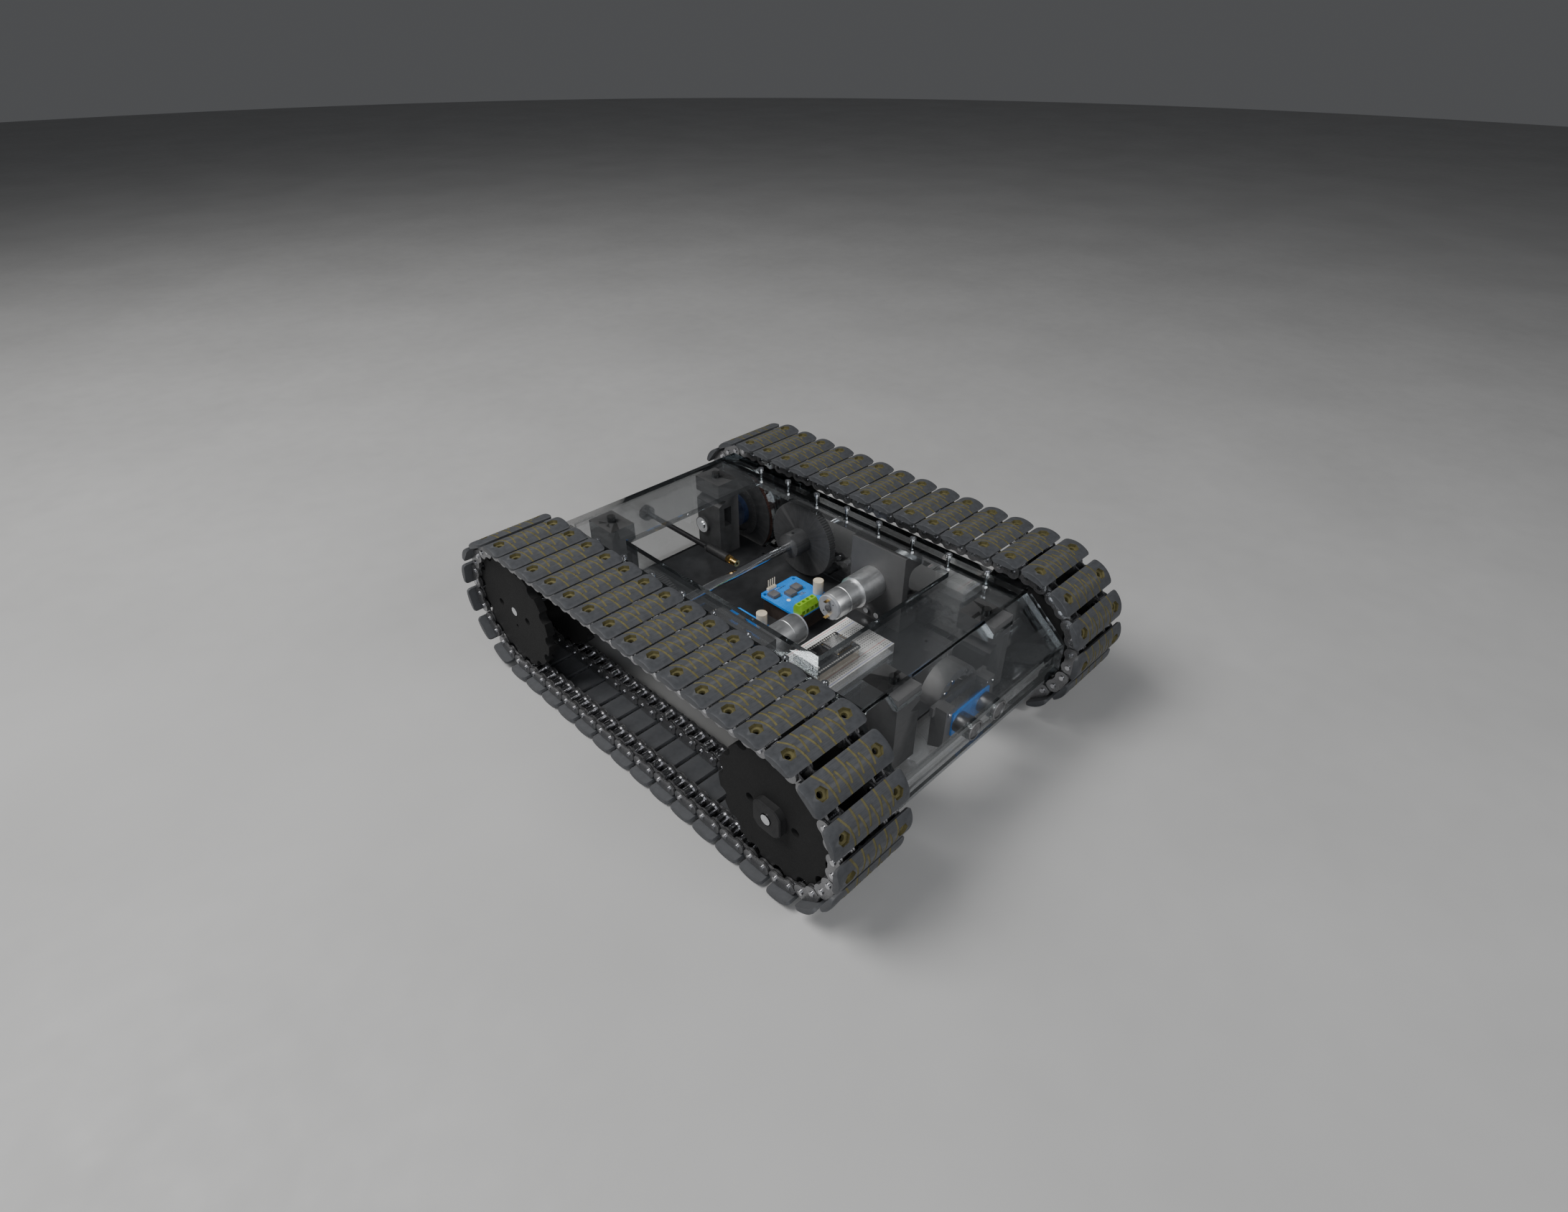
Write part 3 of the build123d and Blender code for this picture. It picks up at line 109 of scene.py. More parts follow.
def surface(name, dark, light, rough, grain=900.0, bump=0.00004, metallic=0.0, wear=None,
            stretch=None, coat=0.0, specular=0.5, sheen=0.0):
    """Mottled tones, uneven roughness, fine bump and worn edges for one finish."""
    material, nodes, links, shader = blank_material(name)
    shader.inputs["Metallic"].default_value = metallic
    shader.inputs["Coat Weight"].default_value = coat
    shader.inputs["Specular IOR Level"].default_value = specular
    shader.inputs["Sheen Weight"].default_value = sheen
    mottle = remap(nodes, links, noise(nodes, links, grain / GRAINS_PER_MOTTLE), 0.0, 1.0)
    tone = blend_tones(nodes, links, mottle, dark, light)
    if wear:
        edge = nodes.new("ShaderNodeNewGeometry").outputs["Pointiness"]
        worn = remap(nodes, links, edge, 0.0, 0.55, 0.53, 0.62)
        tone = blend_tones(nodes, links, worn, tone, wear)
    links.new(tone, shader.inputs["Base Color"])
    fine = noise(nodes, links, grain, 6.0, stretch)
    links.new(remap(nodes, links, fine, *rough), shader.inputs["Roughness"])
    relief = nodes.new("ShaderNodeBump")
    relief.inputs["Strength"].default_value = 0.6
    relief.inputs["Distance"].default_value = bump
    links.new(fine, relief.inputs["Height"])
    links.new(relief.outputs["Normal"], shader.inputs["Normal"])
    return material


ACRYLIC_IOR = 1.49
ACRYLIC_FACE_TONE = (0.93, 0.95, 0.96)
ACRYLIC_EDGE_TONE = (0.3, 0.32, 0.33)
ACRYLIC_EDGE_WEIGHT = 0.45
ACRYLIC_ROUGHNESS = (0.0, 0.025)


def clear_sheet(name, normal):
    """Clear acrylic: faces mirror by a Fresnel curve, cut edges are darker and denser."""
    material, nodes, links, shader = blank_material(name)
    shader.inputs["Metallic"].default_value = 1.0
    haze = noise(nodes, links, 60.0, 3.0)
    links.new(remap(nodes, links, haze, *ACRYLIC_ROUGHNESS), shader.inputs["Roughness"])
    geometry = nodes.new("ShaderNodeNewGeometry")
    facing = nodes.new("ShaderNodeVectorMath")
    facing.operation = "DOT_PRODUCT"
    facing.inputs[1].default_value = normal
    links.new(geometry.outputs["Normal"], facing.inputs[0])
    flat = nodes.new("ShaderNodeMath")
    flat.operation = "ABSOLUTE"
    links.new(facing.outputs["Value"], flat.inputs[0])
    edge = remap(nodes, links, flat.outputs["Value"], 1.0, 0.0, 0.6, 0.9)
    fresnel = nodes.new("ShaderNodeFresnel")
    fresnel.inputs["IOR"].default_value = ACRYLIC_IOR
    face_alpha = remap(nodes, links, fresnel.outputs["Fac"], 0.01, 0.55, 0.04, 1.0)
    total = nodes.new("ShaderNodeMath")
    total.operation = "MULTIPLY_ADD"
    total.use_clamp = True
    links.new(edge, total.inputs[0])
    total.inputs[1].default_value = ACRYLIC_EDGE_WEIGHT
    links.new(face_alpha, total.inputs[2])
    links.new(total.outputs["Value"], shader.inputs["Alpha"])
    tone = blend_tones(nodes, links, edge, ACRYLIC_FACE_TONE, ACRYLIC_EDGE_TONE)
    links.new(tone, shader.inputs["Base Color"])
    return material


RUBBER = surface("pad_rubber", (0.035, 0.037, 0.041), (0.05, 0.053, 0.059), (0.5, 0.7),
                 grain=2600, bump=0.00005, wear=(0.085, 0.087, 0.092), specular=0.3, sheen=0.05)
OLIVE = surface("pad_groove_olive", (0.075, 0.066, 0.027), (0.12, 0.106, 0.046), (0.6, 0.8),
                grain=2200, bump=0.00005, specular=0.3)
CHAIN = surface("chain_plate_steel", (0.055, 0.055, 0.06), (0.11, 0.11, 0.115), (0.22, 0.42),
                grain=1500, bump=0.00002, metallic=0.9, wear=(0.4, 0.4, 0.41))
ROLLER = surface("chain_roller_steel", (0.42, 0.42, 0.44), (0.62, 0.62, 0.64), (0.12, 0.28),
                 grain=1800, bump=0.00001, metallic=1.0, stretch=(12.0, 1.0, 1.0))
SPROCKET = surface("sprocket_black", (0.003, 0.003, 0.0035), (0.007, 0.007, 0.0075), (0.45, 0.65),
                   grain=1400, bump=0.00003, wear=(0.03, 0.03, 0.03), specular=0.05)
BLACK = surface("moulded_black", (0.006, 0.006, 0.007), (0.013, 0.013, 0.014), (0.38, 0.55),
                grain=1800, bump=0.00003, wear=(0.04, 0.04, 0.04), specular=0.2)
CHROME = surface("polished_steel", (0.62, 0.63, 0.65), (0.76, 0.77, 0.79), (0.1, 0.22),
                 grain=1300, bump=0.000006, metallic=1.0, stretch=(0.1, 1.0, 1.0))
BRUSHED = surface("gearbox_brushed", (0.6, 0.61, 0.62), (0.76, 0.77, 0.78), (0.34, 0.5),
                  grain=1600, bump=0.00001, metallic=1.0, stretch=(0.05, 1.0, 1.0))
PULLEY = surface("pulley_printed_grey", (0.02, 0.0205, 0.022), (0.034, 0.035, 0.037), (0.4, 0.6),
                 grain=1500, bump=0.00004, wear=(0.09, 0.09, 0.092))
RED_BAND = surface("tooth_band_red", (0.06, 0.027, 0.02), (0.11, 0.05, 0.04), (0.55, 0.75),
                   grain=2000, bump=0.00004)
DARK_BLUE = surface("hub_dark_blue", (0.012, 0.02, 0.05), (0.025, 0.04, 0.09), (0.35, 0.5),
                    grain=1500, bump=0.00003)
PRINT = surface("printed_grey", (0.026, 0.0265, 0.028), (0.042, 0.043, 0.045), (0.48, 0.66),
                grain=1200, bump=0.00006, wear=(0.1, 0.1, 0.102), stretch=(0.2, 0.2, 3.0))
LIGHT_PRINT = surface("printed_light_grey", (0.05, 0.05, 0.052), (0.08, 0.08, 0.083), (0.5, 0.7),
                      grain=1200, bump=0.00006, wear=(0.15, 0.15, 0.15), stretch=(0.2, 0.2, 3.0))
FLOOR = surface("floor_plate_grey", (0.017, 0.0175, 0.019), (0.028, 0.029, 0.031), (0.3, 0.48),
                grain=900, bump=0.00003)
BRASS = surface("gold_plate", (0.55, 0.36, 0.12), (0.78, 0.55, 0.22), (0.15, 0.3),
                grain=1800, bump=0.00001, metallic=1.0)
TIN = surface("pin_metal", (0.62, 0.61, 0.56), (0.82, 0.81, 0.76), (0.2, 0.35),
              grain=1800, bump=0.00001, metallic=1.0)
BLUE = surface("board_blue", (0.01, 0.19, 0.66), (0.02, 0.26, 0.8), (0.2, 0.36),
               grain=1400, bump=0.00002, coat=0.4)
BLACK_BOARD = surface("board_black", (0.012, 0.012, 0.014), (0.03, 0.03, 0.033), (0.22, 0.4),
                      grain=1400, bump=0.00002, coat=0.3)
BLOCK = surface("block_brown", (0.022, 0.015, 0.012), (0.045, 0.033, 0.028), (0.5, 0.7),
                grain=1200, bump=0.00004)
GREEN = surface("terminal_green", (0.2, 0.42, 0.02), (0.29, 0.56, 0.04), (0.25, 0.42),
                grain=1500, bump=0.00003, coat=0.2)
BEIGE = surface("capacitor_beige", (0.5, 0.43, 0.32), (0.62, 0.55, 0.43), (0.3, 0.45),
                grain=1500, bump=0.00002)
CREAM = surface("header_cream", (0.56, 0.49, 0.38), (0.72, 0.64, 0.52), (0.35, 0.5),
                grain=1500, bump=0.00002)
CHIP = surface("chip_grey", (0.085, 0.085, 0.09), (0.13, 0.13, 0.135), (0.4, 0.6),
               grain=2200, bump=0.00003)
WHITE = surface("bread_white", (0.74, 0.74, 0.73), (0.84, 0.84, 0.83), (0.35, 0.5),
                grain=1500, bump=0.00002)
# Painted shade: near-black for the walls and floors of the breadboard's holes, in place of the shade
# inside them.
HOLE_PAINTED_SHADE = surface("hole_painted_shade", (0.03, 0.03, 0.03), (0.07, 0.07, 0.07), (0.6, 0.8))
SHIELD = surface("shield_tin", (0.58, 0.58, 0.57), (0.74, 0.74, 0.73), (0.2, 0.34),
                 grain=1500, bump=0.00002, metallic=1.0)
SENSOR = surface("sensor_aluminium", (0.2, 0.2, 0.205), (0.3, 0.3, 0.305), (0.3, 0.45),
                 grain=1800, bump=0.00001, metallic=1.0, stretch=(1.0, 0.1, 1.0))
MESH_GREY = surface("sensor_mesh", (0.05, 0.05, 0.052), (0.12, 0.12, 0.122), (0.5, 0.7),
                    grain=4200, bump=0.0002)
CAP = surface("end_cap_milky", (0.26, 0.27, 0.29), (0.36, 0.37, 0.4), (0.25, 0.4),
              grain=1500, bump=0.00002)
RED_LINE = surface("rail_red", (0.5, 0.03, 0.03), (0.62, 0.06, 0.05), (0.4, 0.6))
BLUE_LINE = surface("rail_blue", (0.03, 0.08, 0.45), (0.05, 0.13, 0.58), (0.4, 0.6))


def paint(material, *names):
    for name in names:
        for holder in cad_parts[name].material_slots:
            holder.material = material


for side in SIDES:
    paint(CHAIN, f"chain_outer_plates_{side}", f"chain_inner_plates_{side}")
    paint(ROLLER, f"chain_rollers_{side}", f"chain_pins_{side}")
    paint(SPROCKET, f"front_sprockets_{side}", f"rear_sprockets_{side}")
    paint(CHROME, f"front_axle_{side}", f"rear_axle_{side}", f"motor_output_{side}")
    paint(PULLEY, f"big_pulley_{side}", f"rear_pulley_{side}")
    paint(RED_BAND, f"rear_pulley_teeth_{side}")
    paint(DARK_BLUE, f"rear_pulley_hub_{side}")
    paint(BLACK, f"front_hub_{side}")
paint(PRINT, "bearing_posts", "motor_brackets")
paint(LIGHT_PRINT, "sensor_bracket")
paint(FLOOR, "floor_plates")
paint(CHROME, "cross_shaft", "bearings", "small_screws", "deck_screws")
paint(BRASS, "motor_terminals", "antenna_connector")
paint(BLOCK, "driver_blocks")
paint(BLUE, "circuit_boards")
paint(GREEN, "driver_terminals")
paint(BLACK_BOARD, "controller_board")
paint(SHIELD, "controller_shields")
paint(CREAM, "pin_headers")
paint(CHIP, "driver_chips")
paint(BEIGE, "driver_capacitors")
paint(BLACK, "antenna_rod")
paint(BRUSHED, "gearboxes")

HOOD_RUN, HOOD_DROP = 39.5, 33.0
BELLY_RUN, BELLY_RISE = 58.5, 25.0
HOOD_NORMAL = Vector((0, -HOOD_DROP, HOOD_RUN)).normalized()
BELLY_NORMAL = Vector((0, -BELLY_RISE, -BELLY_RUN)).normalized()
paint(clear_sheet("acrylic_top", (0, 0, 1)), "top_plate")
paint(clear_sheet("acrylic_sides", (1, 0, 0)), "side_walls")
paint(clear_sheet("acrylic_rear", (0, 1, 0)), "rear_wall", "nose_strip")
paint(clear_sheet("acrylic_hood", HOOD_NORMAL), "nose_hood")
paint(clear_sheet("acrylic_belly", BELLY_NORMAL), "nose_belly")


# ---- mesh helpers ----------------------------------------------------------------
def made_object(name, bm, material, smooth=True, angle=35.0):
    """A mesh object from bm, with faces meeting above the angle kept sharp."""
    bmesh.ops.recalc_face_normals(bm, faces=bm.faces)
    mesh = bpy.data.meshes.new(name)
    bm.to_mesh(mesh)
    bm.free()
    for one in material if isinstance(material, (list, tuple)) else [material]:
        mesh.materials.append(one)
    if smooth:
        mesh.shade_smooth()
        mesh.set_sharp_from_angle(angle=radians(angle))
    made = bpy.data.objects.new(name, mesh)
    bpy.context.scene.collection.objects.link(made)
    return made


def prism(bm, outline, low, high, place=Matrix()):
    """A prism of a plane outline between two heights, added to bm."""
    rings = [[bm.verts.new(place @ Vector((x, y, z))) for x, y in outline] for z in (low, high)]
    count = len(outline)
    bm.faces.new(rings[0][::-1])
    bm.faces.new(rings[1])
    for i in range(count):
        j = (i + 1) % count
        bm.faces.new((rings[0][i], rings[0][j], rings[1][j], rings[1][i]))


def circle(radius, count=32, middle=(0, 0), start=0.0):
    turn = 2 * pi / count
    return [
        (middle[0] + radius * cos(start + i * turn), middle[1] + radius * sin(start + i * turn))
        for i in range(count)
    ]


def rectangle(x0, x1, y0, y1):
    return [(x0, y0), (x1, y0), (x1, y1), (x0, y1)]


def lathe(bm, profile, place, count=48):
    """A closed turned solid: profile is (height, radius) pairs from axis to axis."""
    rings = []
    for height, radius in profile:
        if radius == 0:
            rings.append([bm.verts.new(place @ Vector((0, 0, height)))])
        else:
            ring = [place @ Vector((x, y, height)) for x, y in circle(radius, count)]
            rings.append([bm.verts.new(at) for at in ring])
    for low, high in zip(rings, rings[1:]):
        for i in range(count):
            j = (i + 1) % count
            corners = [low[i % len(low)], low[j % len(low)], high[j % len(high)], high[i % len(high)]]
            unique = list(dict.fromkeys(corners))
            if len(unique) > 2:
                bm.faces.new(unique)


def bevel(made, width, segments=2, angle=40.0):
    modifier = made.modifiers.new("edge_round", "BEVEL")
    modifier.width = width
    modifier.segments = segments
    modifier.limit_method = "ANGLE"
    modifier.angle_limit = radians(angle)
    modifier.harden_normals = False


def settle(made, body, slot, *nodes):
    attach(made, body)
    if nodes:
        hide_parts(*nodes)


# ---- track pads ------------------------------------------------------------------
TEETH = 28
PITCH = 12.7 * MM
RUN_PITCHES = 25
LINKS = 2 * RUN_PITCHES + TEETH
CHAIN_R = PITCH / 2 / sin(pi / TEETH)
RUN_R = CHAIN_R * cos(pi / TEETH)
HALF_BASE = RUN_PITCHES * PITCH / 2

PAD_LENGTH = 71 * MM
PAD_HALF = 11.8 * MM
PAD_BASE_HALF = 10.75 * MM
PAD_SEAT = 6.25 * MM
PAD_SIDE = 1.8 * MM
PAD_CROWN = AXLE_Z - RUN_R
PAD_CORNER = 3 * MM
END_ROLL = 0.5 * MM
PAD_RISE = PAD_CROWN - PAD_SEAT - PAD_SIDE
PAD_ARC_R = (PAD_HALF ** 2 + PAD_RISE ** 2) / (2 * PAD_RISE)
GROOVE_DEPTH = 0.25 * MM
GROOVE_WIDTH = 1.7 * MM
PAD_STEPS = 18
CORNER_STEPS = 6
GROOVE_STEPS = 8
GROOVE_CLEAR = 3 * MM
PAD_BOLT_X = 25.2 * MM
NUT_POCKET_R = 5 * MM
NUT_POCKET_DEPTH = 2.75 * MM
BOLT_HOLE_R = 2.25 * MM
CUTTER_ABOVE = 2 * MM
PAD_SMOOTH_ANGLE = 32
# Groove corners as (x, y) on the pad's face, in mm.
END_STROKE = [(-22.9, 12.3), (-19.0, 3.5), (-17.5, -5.6), (-16.5, -12.3)]
SHORT_STROKE = [(0.0, 12.3), (0.2, 4.1), (-1.6, -6.2)]
LONG_STROKE = [(2.9, 6.2), (5.8, -5.4), (7.0, -12.3)]
SHORT_STROKES_AT = [-12.1, -1.3, 9.5, 20.3]
LONG_STROKES_BELOW = 17.75


def crown(y):
    """Height of the pad's crowned face at a distance y along the travel."""
    return PAD_CROWN - PAD_ARC_R + sqrt(PAD_ARC_R ** 2 - y ** 2)


def pad_section(shrink, lower):
    """Closed outline of a pad across its travel, narrowed and lowered near its ends."""
    half, base = PAD_HALF - shrink, PAD_BASE_HALF - shrink
    top = [half * (2 * i / PAD_STEPS - 1) for i in range(PAD_STEPS + 1)]
    arc = [(y, crown(y) - lower) for y in top]
    return [(base, PAD_SEAT), (-base, PAD_SEAT)] + arc


def pad_mesh():
    """The crowned pad, with ends that round off in plan and roll over a little."""
    bm = bmesh.new()
    stations = []
    for i in range(CORNER_STEPS + 1):
        turn = pi / 2 * i / CORNER_STEPS
        x = PAD_CORNER * (1 - cos(turn)) - PAD_LENGTH / 2
        stations.append((x, PAD_CORNER * (1 - sin(turn)), END_ROLL * (1 - sin(turn))))
    stations += [(-x, shrink, lower) for x, shrink, lower in reversed(stations)]
    rings = []
    for x, shrink, lower in stations:
        rings.append([bm.verts.new((x, y, z)) for y, z in pad_section(shrink, lower)])
    count = len(rings[0])
    for low, high in zip(rings, rings[1:]):
        for i in range(count):
            j = (i + 1) % count
            bm.faces.new((low[i], low[j], high[j], high[i]))
    bm.faces.new(rings[0][::-1])
    bm.faces.new(rings[-1])
    return bm


def groove(bm, start, end):
    """A slot cut along a straight line on the crown, following the crown's height."""
    start, end = Vector(start), Vector(end)
    across = (end - start).normalized().orthogonal() * GROOVE_WIDTH / 2
    rings = []
    for i in range(GROOVE_STEPS + 1):
        at = start.lerp(end, i / GROOVE_STEPS)
        inside = max(-PAD_HALF, min(PAD_HALF, at.y))
        deep = crown(inside) - GROOVE_DEPTH
        above = deep + GROOVE_CLEAR
        left, right = at + across, at - across
        corners = [(left.x, left.y, deep), (right.x, right.y, deep)]
        corners += [(right.x, right.y, above), (left.x, left.y, above)]
        rings.append([bm.verts.new(corner) for corner in corners])
    for low, high in zip(rings, rings[1:]):
        for i in range(4):
            j = (i + 1) % 4
            bm.faces.new((low[i], low[j], high[j], high[i]))
    bm.faces.new(rings[0][::-1])
    bm.faces.new(rings[-1])


def cut(made, cutter):
    modifier = made.modifiers.new("cut", "BOOLEAN")
    modifier.operation = "DIFFERENCE"
    modifier.solver = "EXACT"
    modifier.material_mode = "TRANSFER"
    modifier.object = cutter
    graph = bpy.context.evaluated_depsgraph_get()
    mesh = bpy.data.meshes.new_from_object(made.evaluated_get(graph), preserve_all_data_layers=True,
                                           depsgraph=graph)
    made.modifiers.clear()
    made.data = mesh
    bpy.data.objects.remove(cutter)


def finished_pad():
    """The pad with its two hexagon pockets, bolt holes and olive grooves."""
    pad = made_object("pad_master", pad_mesh(), [RUBBER, OLIVE])
    pocket = (circle(NUT_POCKET_R, 6), PAD_CROWN - NUT_POCKET_DEPTH, PAD_CROWN + CUTTER_ABOVE)
    hole = (circle(BOLT_HOLE_R, 24), 0, PAD_CROWN)
    for outline, low, high in (pocket, hole):
        tool = bmesh.new()
        for x in (-PAD_BOLT_X, PAD_BOLT_X):
            prism(tool, outline, low, high, Matrix.Translation((x, 0, 0)))
        cut(pad, made_object("tool", tool, OLIVE, smooth=False))
    strokes = [END_STROKE]
    for x0 in SHORT_STROKES_AT:
        strokes.append([(x0 + x, y) for x, y in SHORT_STROKE])
        if x0 < LONG_STROKES_BELOW:
            strokes.append([(x0 + x, y) for x, y in LONG_STROKE])
    for stroke in strokes:
        for start, end in zip(stroke, stroke[1:]):
            tool = bmesh.new()
            groove(tool, (start[0] * MM, start[1] * MM, 0), (end[0] * MM, end[1] * MM, 0))
            cut(pad, made_object("tool", tool, OLIVE, smooth=False))
    mesh = pad.data
    mesh.shade_smooth()
    mesh.set_sharp_from_angle(angle=radians(PAD_SMOOTH_ANGLE))
    bpy.data.objects.remove(pad)
    return mesh


def link_place(i):
    """Turn about X and place (y, z) of chain link i, with link 0 above the front axle."""
    if i >= LINKS // 2:
        turn, y, z = link_place(i - LINKS // 2)
        return turn + pi, -y, 2 * AXLE_Z - z
    if i <= RUN_PITCHES:
        return 0.0, -HALF_BASE + i * PITCH, AXLE_Z + RUN_R
    turn = (i - RUN_PITCHES) * 2 * pi / TEETH
    return turn, HALF_BASE + RUN_R * sin(turn), AXLE_Z + RUN_R * cos(turn)


PAD_MESH = finished_pad()
for name in SIDES:
    middle_x = span(f"pads_{name}")[2].x
    bm = bmesh.new()
    for i in range(1, LINKS, 2):
        turn, y, z = link_place(i)
        start = len(bm.verts)
        bm.from_mesh(PAD_MESH)
        place = Matrix.Translation((middle_x, y, z)) @ Matrix.Rotation(-turn, 4, "X")
        bm.verts.ensure_lookup_table()
        bmesh.ops.transform(bm, matrix=place, verts=bm.verts[start:])
    mesh = bpy.data.meshes.new(f"track_pads_{name}")
    bm.to_mesh(mesh)
    bm.free()
    mesh.materials.append(RUBBER)
    mesh.materials.append(OLIVE)
    pads = bpy.data.objects.new(f"track_pads_{name}", mesh)
    bpy.context.scene.collection.objects.link(pads)
    settle(pads, "chassis", "pad_rubber", f"pads_{name}")


# ---- breadboard ------------------------------------------------------------------
HOLE_PITCH = 2.54 * MM
HOLE_HALF = 0.45 * MM
HOLE_DEEP = 1.2 * MM
LINE_HALF = 0.25 * MM
RAVINE_DEEP = 2 * MM
BREAD_COLUMNS, BREAD_ROWS = 32, 21
PLAIN, HOLE, RED_RAIL, BLUE_RAIL = range(4)
HOLE_ROWS = {1, 2, 5, 6, 7, 8, 9, 11, 12, 13, 14, 15, 18, 19}
LINE_ROWS = {0: BLUE_RAIL, 3: RED_RAIL, 17: BLUE_RAIL, 20: RED_RAIL}
RAVINE_ROW = 10


def quad(bm, corners, index):
    face = bm.faces.new([bm.verts.new(corner) for corner in corners])
    face.material_index = index


def flat(bm, x0, x1, y0, y1, z, index=PLAIN):
    quad(bm, ((x0, y0, z), (x1, y0, z), (x1, y1, z), (x0, y1, z)), index)


def pit(bm, x0, x1, y0, y1, top, deep, wall, floor):
    """Four walls and a floor below a rectangle of the top face."""
    ring = rectangle(x0, x1, y0, y1)
    for (ax, ay), (bx, by) in zip(ring, ring[1:] + ring[:1]):
        quad(bm, ((ax, ay, top), (bx, by, top), (bx, by, top - deep), (ax, ay, top - deep)), wall)
    flat(bm, x0, x1, y0, y1, top - deep, floor)


def breadboard():
    """The top with its contact holes, rail lines and ravine, and plain sides below it."""
    low, high, _ = span("breadboard")
    bm = bmesh.new()
    top = high.z
    x_first = (low.x + high.x - BREAD_COLUMNS * HOLE_PITCH) / 2
    y_first = (low.y + high.y - BREAD_ROWS * HOLE_PITCH) / 2
    x_last = x_first + BREAD_COLUMNS * HOLE_PITCH
    y_last = y_first + BREAD_ROWS * HOLE_PITCH
    for row in range(BREAD_ROWS):
        y0 = y_first + row * HOLE_PITCH
        y1, y = y0 + HOLE_PITCH, y0 + HOLE_PITCH / 2
        if row in LINE_ROWS:
            flat(bm, x_first, x_last, y0, y - LINE_HALF, top)
            flat(bm, x_first, x_last, y + LINE_HALF, y1, top)
            flat(bm, x_first, x_last, y - LINE_HALF, y + LINE_HALF, top, LINE_ROWS[row])
        elif row == RAVINE_ROW:
            pit(bm, x_first, x_last, y0, y1, top, RAVINE_DEEP, PLAIN, PLAIN)
        elif row in HOLE_ROWS:
            for column in range(BREAD_COLUMNS):
                x0 = x_first + column * HOLE_PITCH
                x1, x = x0 + HOLE_PITCH, x0 + HOLE_PITCH / 2
                flat(bm, x0, x1, y0, y - HOLE_HALF, top)
                flat(bm, x0, x1, y + HOLE_HALF, y1, top)
                flat(bm, x0, x - HOLE_HALF, y - HOLE_HALF, y + HOLE_HALF, top)
                flat(bm, x + HOLE_HALF, x1, y - HOLE_HALF, y + HOLE_HALF, top)
                # The walls and floor of each hole take the near-black painted shade.
                pit(bm, x - HOLE_HALF, x + HOLE_HALF, y - HOLE_HALF, y + HOLE_HALF, top,
                    HOLE_DEEP, HOLE, HOLE)
        else:
            flat(bm, x_first, x_last, y0, y1, top)
    flat(bm, low.x, high.x, low.y, y_first, top)
    flat(bm, low.x, high.x, y_last, high.y, top)
    flat(bm, low.x, x_first, y_first, y_last, top)
    flat(bm, x_last, high.x, y_first, y_last, top)
    pit(bm, low.x, high.x, low.y, high.y, top, top - low.z, PLAIN, PLAIN)
    board = made_object("breadboard_body", bm, [WHITE, HOLE_PAINTED_SHADE, RED_LINE, BLUE_LINE], smooth=False)
    settle(board, "chassis", "bread_white", "breadboard")


breadboard()


# ---- gearmotors ------------------------------------------------------------------
# Profiles hold the distance from the middle of the chassis and the radius, in mm.
CAN_START = 20 * MM
CAN_ROUND = [(0.0, 1.1), (0.3, 0.4), (1.1, 0.0)]
CAN_SEAM = [(33.5, 0.0), (33.8, 0.25), (34.2, 0.25), (34.5, 0.0)]
CAP_PROFILE = [(18, 0), (18, 11.1), (18.4, 11.5), (20, 11.5), (20, 0)]
HUB_PROFILE = [(16, 0), (16, 1.0), (16.4, 1.2), (16.4, 2.6), (16.8, 3.2), (18, 3.2), (18, 0)]
# Each end cap's two holes are drawn as thin black discs on its face: painted shade where the holes
# are.
CAP_HOLE_PROFILE = [(17.94, 0), (17.94, 0.7), (18.2, 0.7), (18.2, 0)]
CAP_HOLE_FROM_AXIS = 7.2 * MM
CAP_HOLE_TURNS = (pi / 4, 5 * pi / 4)


def along_x(side, x, y, z):
    """Frame whose Z runs outwards along X, with its origin on an axis parallel to X."""
    return Matrix.Translation((side * x, y, z)) @ Matrix.Rotation(side * pi / 2, 4, "Y")


def in_metres(profile):
    return [(along * MM, radius * MM) for along, radius in profile]


def can_profile(radius, end):
    """Can with a rounded inner edge and a rolled seam; its steps lie below the radius."""
    edge = [(CAN_START + along * MM, radius - below * MM) for along, below in CAN_ROUND]
    seam = [(along * MM, radius - below * MM) for along, below in CAN_SEAM]
    return [(CAN_START, 0)] + edge + seam + [(end, radius), (end, 0)]


def motors():
    low, high, middle = span("motor_cans")
    radius = (high.z - low.z) / 2
    can, cap, hub, holes = bmesh.new(), bmesh.new(), bmesh.new(), bmesh.new()
    for side in SIDES.values():
        place = along_x(side, 0, middle.y, middle.z)
        lathe(can, can_profile(radius, high.x), place, 96)
        lathe(cap, in_metres(CAP_PROFILE), place, 64)
        lathe(hub, in_metres(HUB_PROFILE), place, 40)
        for turn in CAP_HOLE_TURNS:
            out, up = CAP_HOLE_FROM_AXIS * cos(turn), CAP_HOLE_FROM_AXIS * sin(turn)
            at = place @ Matrix.Translation((out, up, 0))
            lathe(holes, in_metres(CAP_HOLE_PROFILE), at, 16)
    settle(made_object("motor_can_shells", can, BRUSHED), "chassis", "motor_can", "motor_cans")
    settle(made_object("motor_end_discs", cap, CAP), "chassis", "end_cap", "motor_end_caps")
    settle(made_object("motor_end_hubs", hub, CHIP), "chassis", "end_cap")
    # The thin discs in the moulded black material are painted shade for the cap's holes.
    settle(made_object("motor_cap_hole_shades", holes, BLACK), "chassis", "end_cap")


motors()


# ---- range sensor faces ----------------------------------------------------------
# Rim steps are set back from the front and in from the radius, in mm.
SENSOR_RIM = [(0.5, 0.0), (0.0, 0.5), (0.0, 1.3), (1.2, 1.6)]
SENSOR_FLOOR_BACK = 1.2 * MM
MESH_BACK = 1.1 * MM
MESH_THICK = 0.05 * MM
MESH_DOME = 0.5 * MM
MESH_INSET = 1.7 * MM
RIM_ANGLE = 50


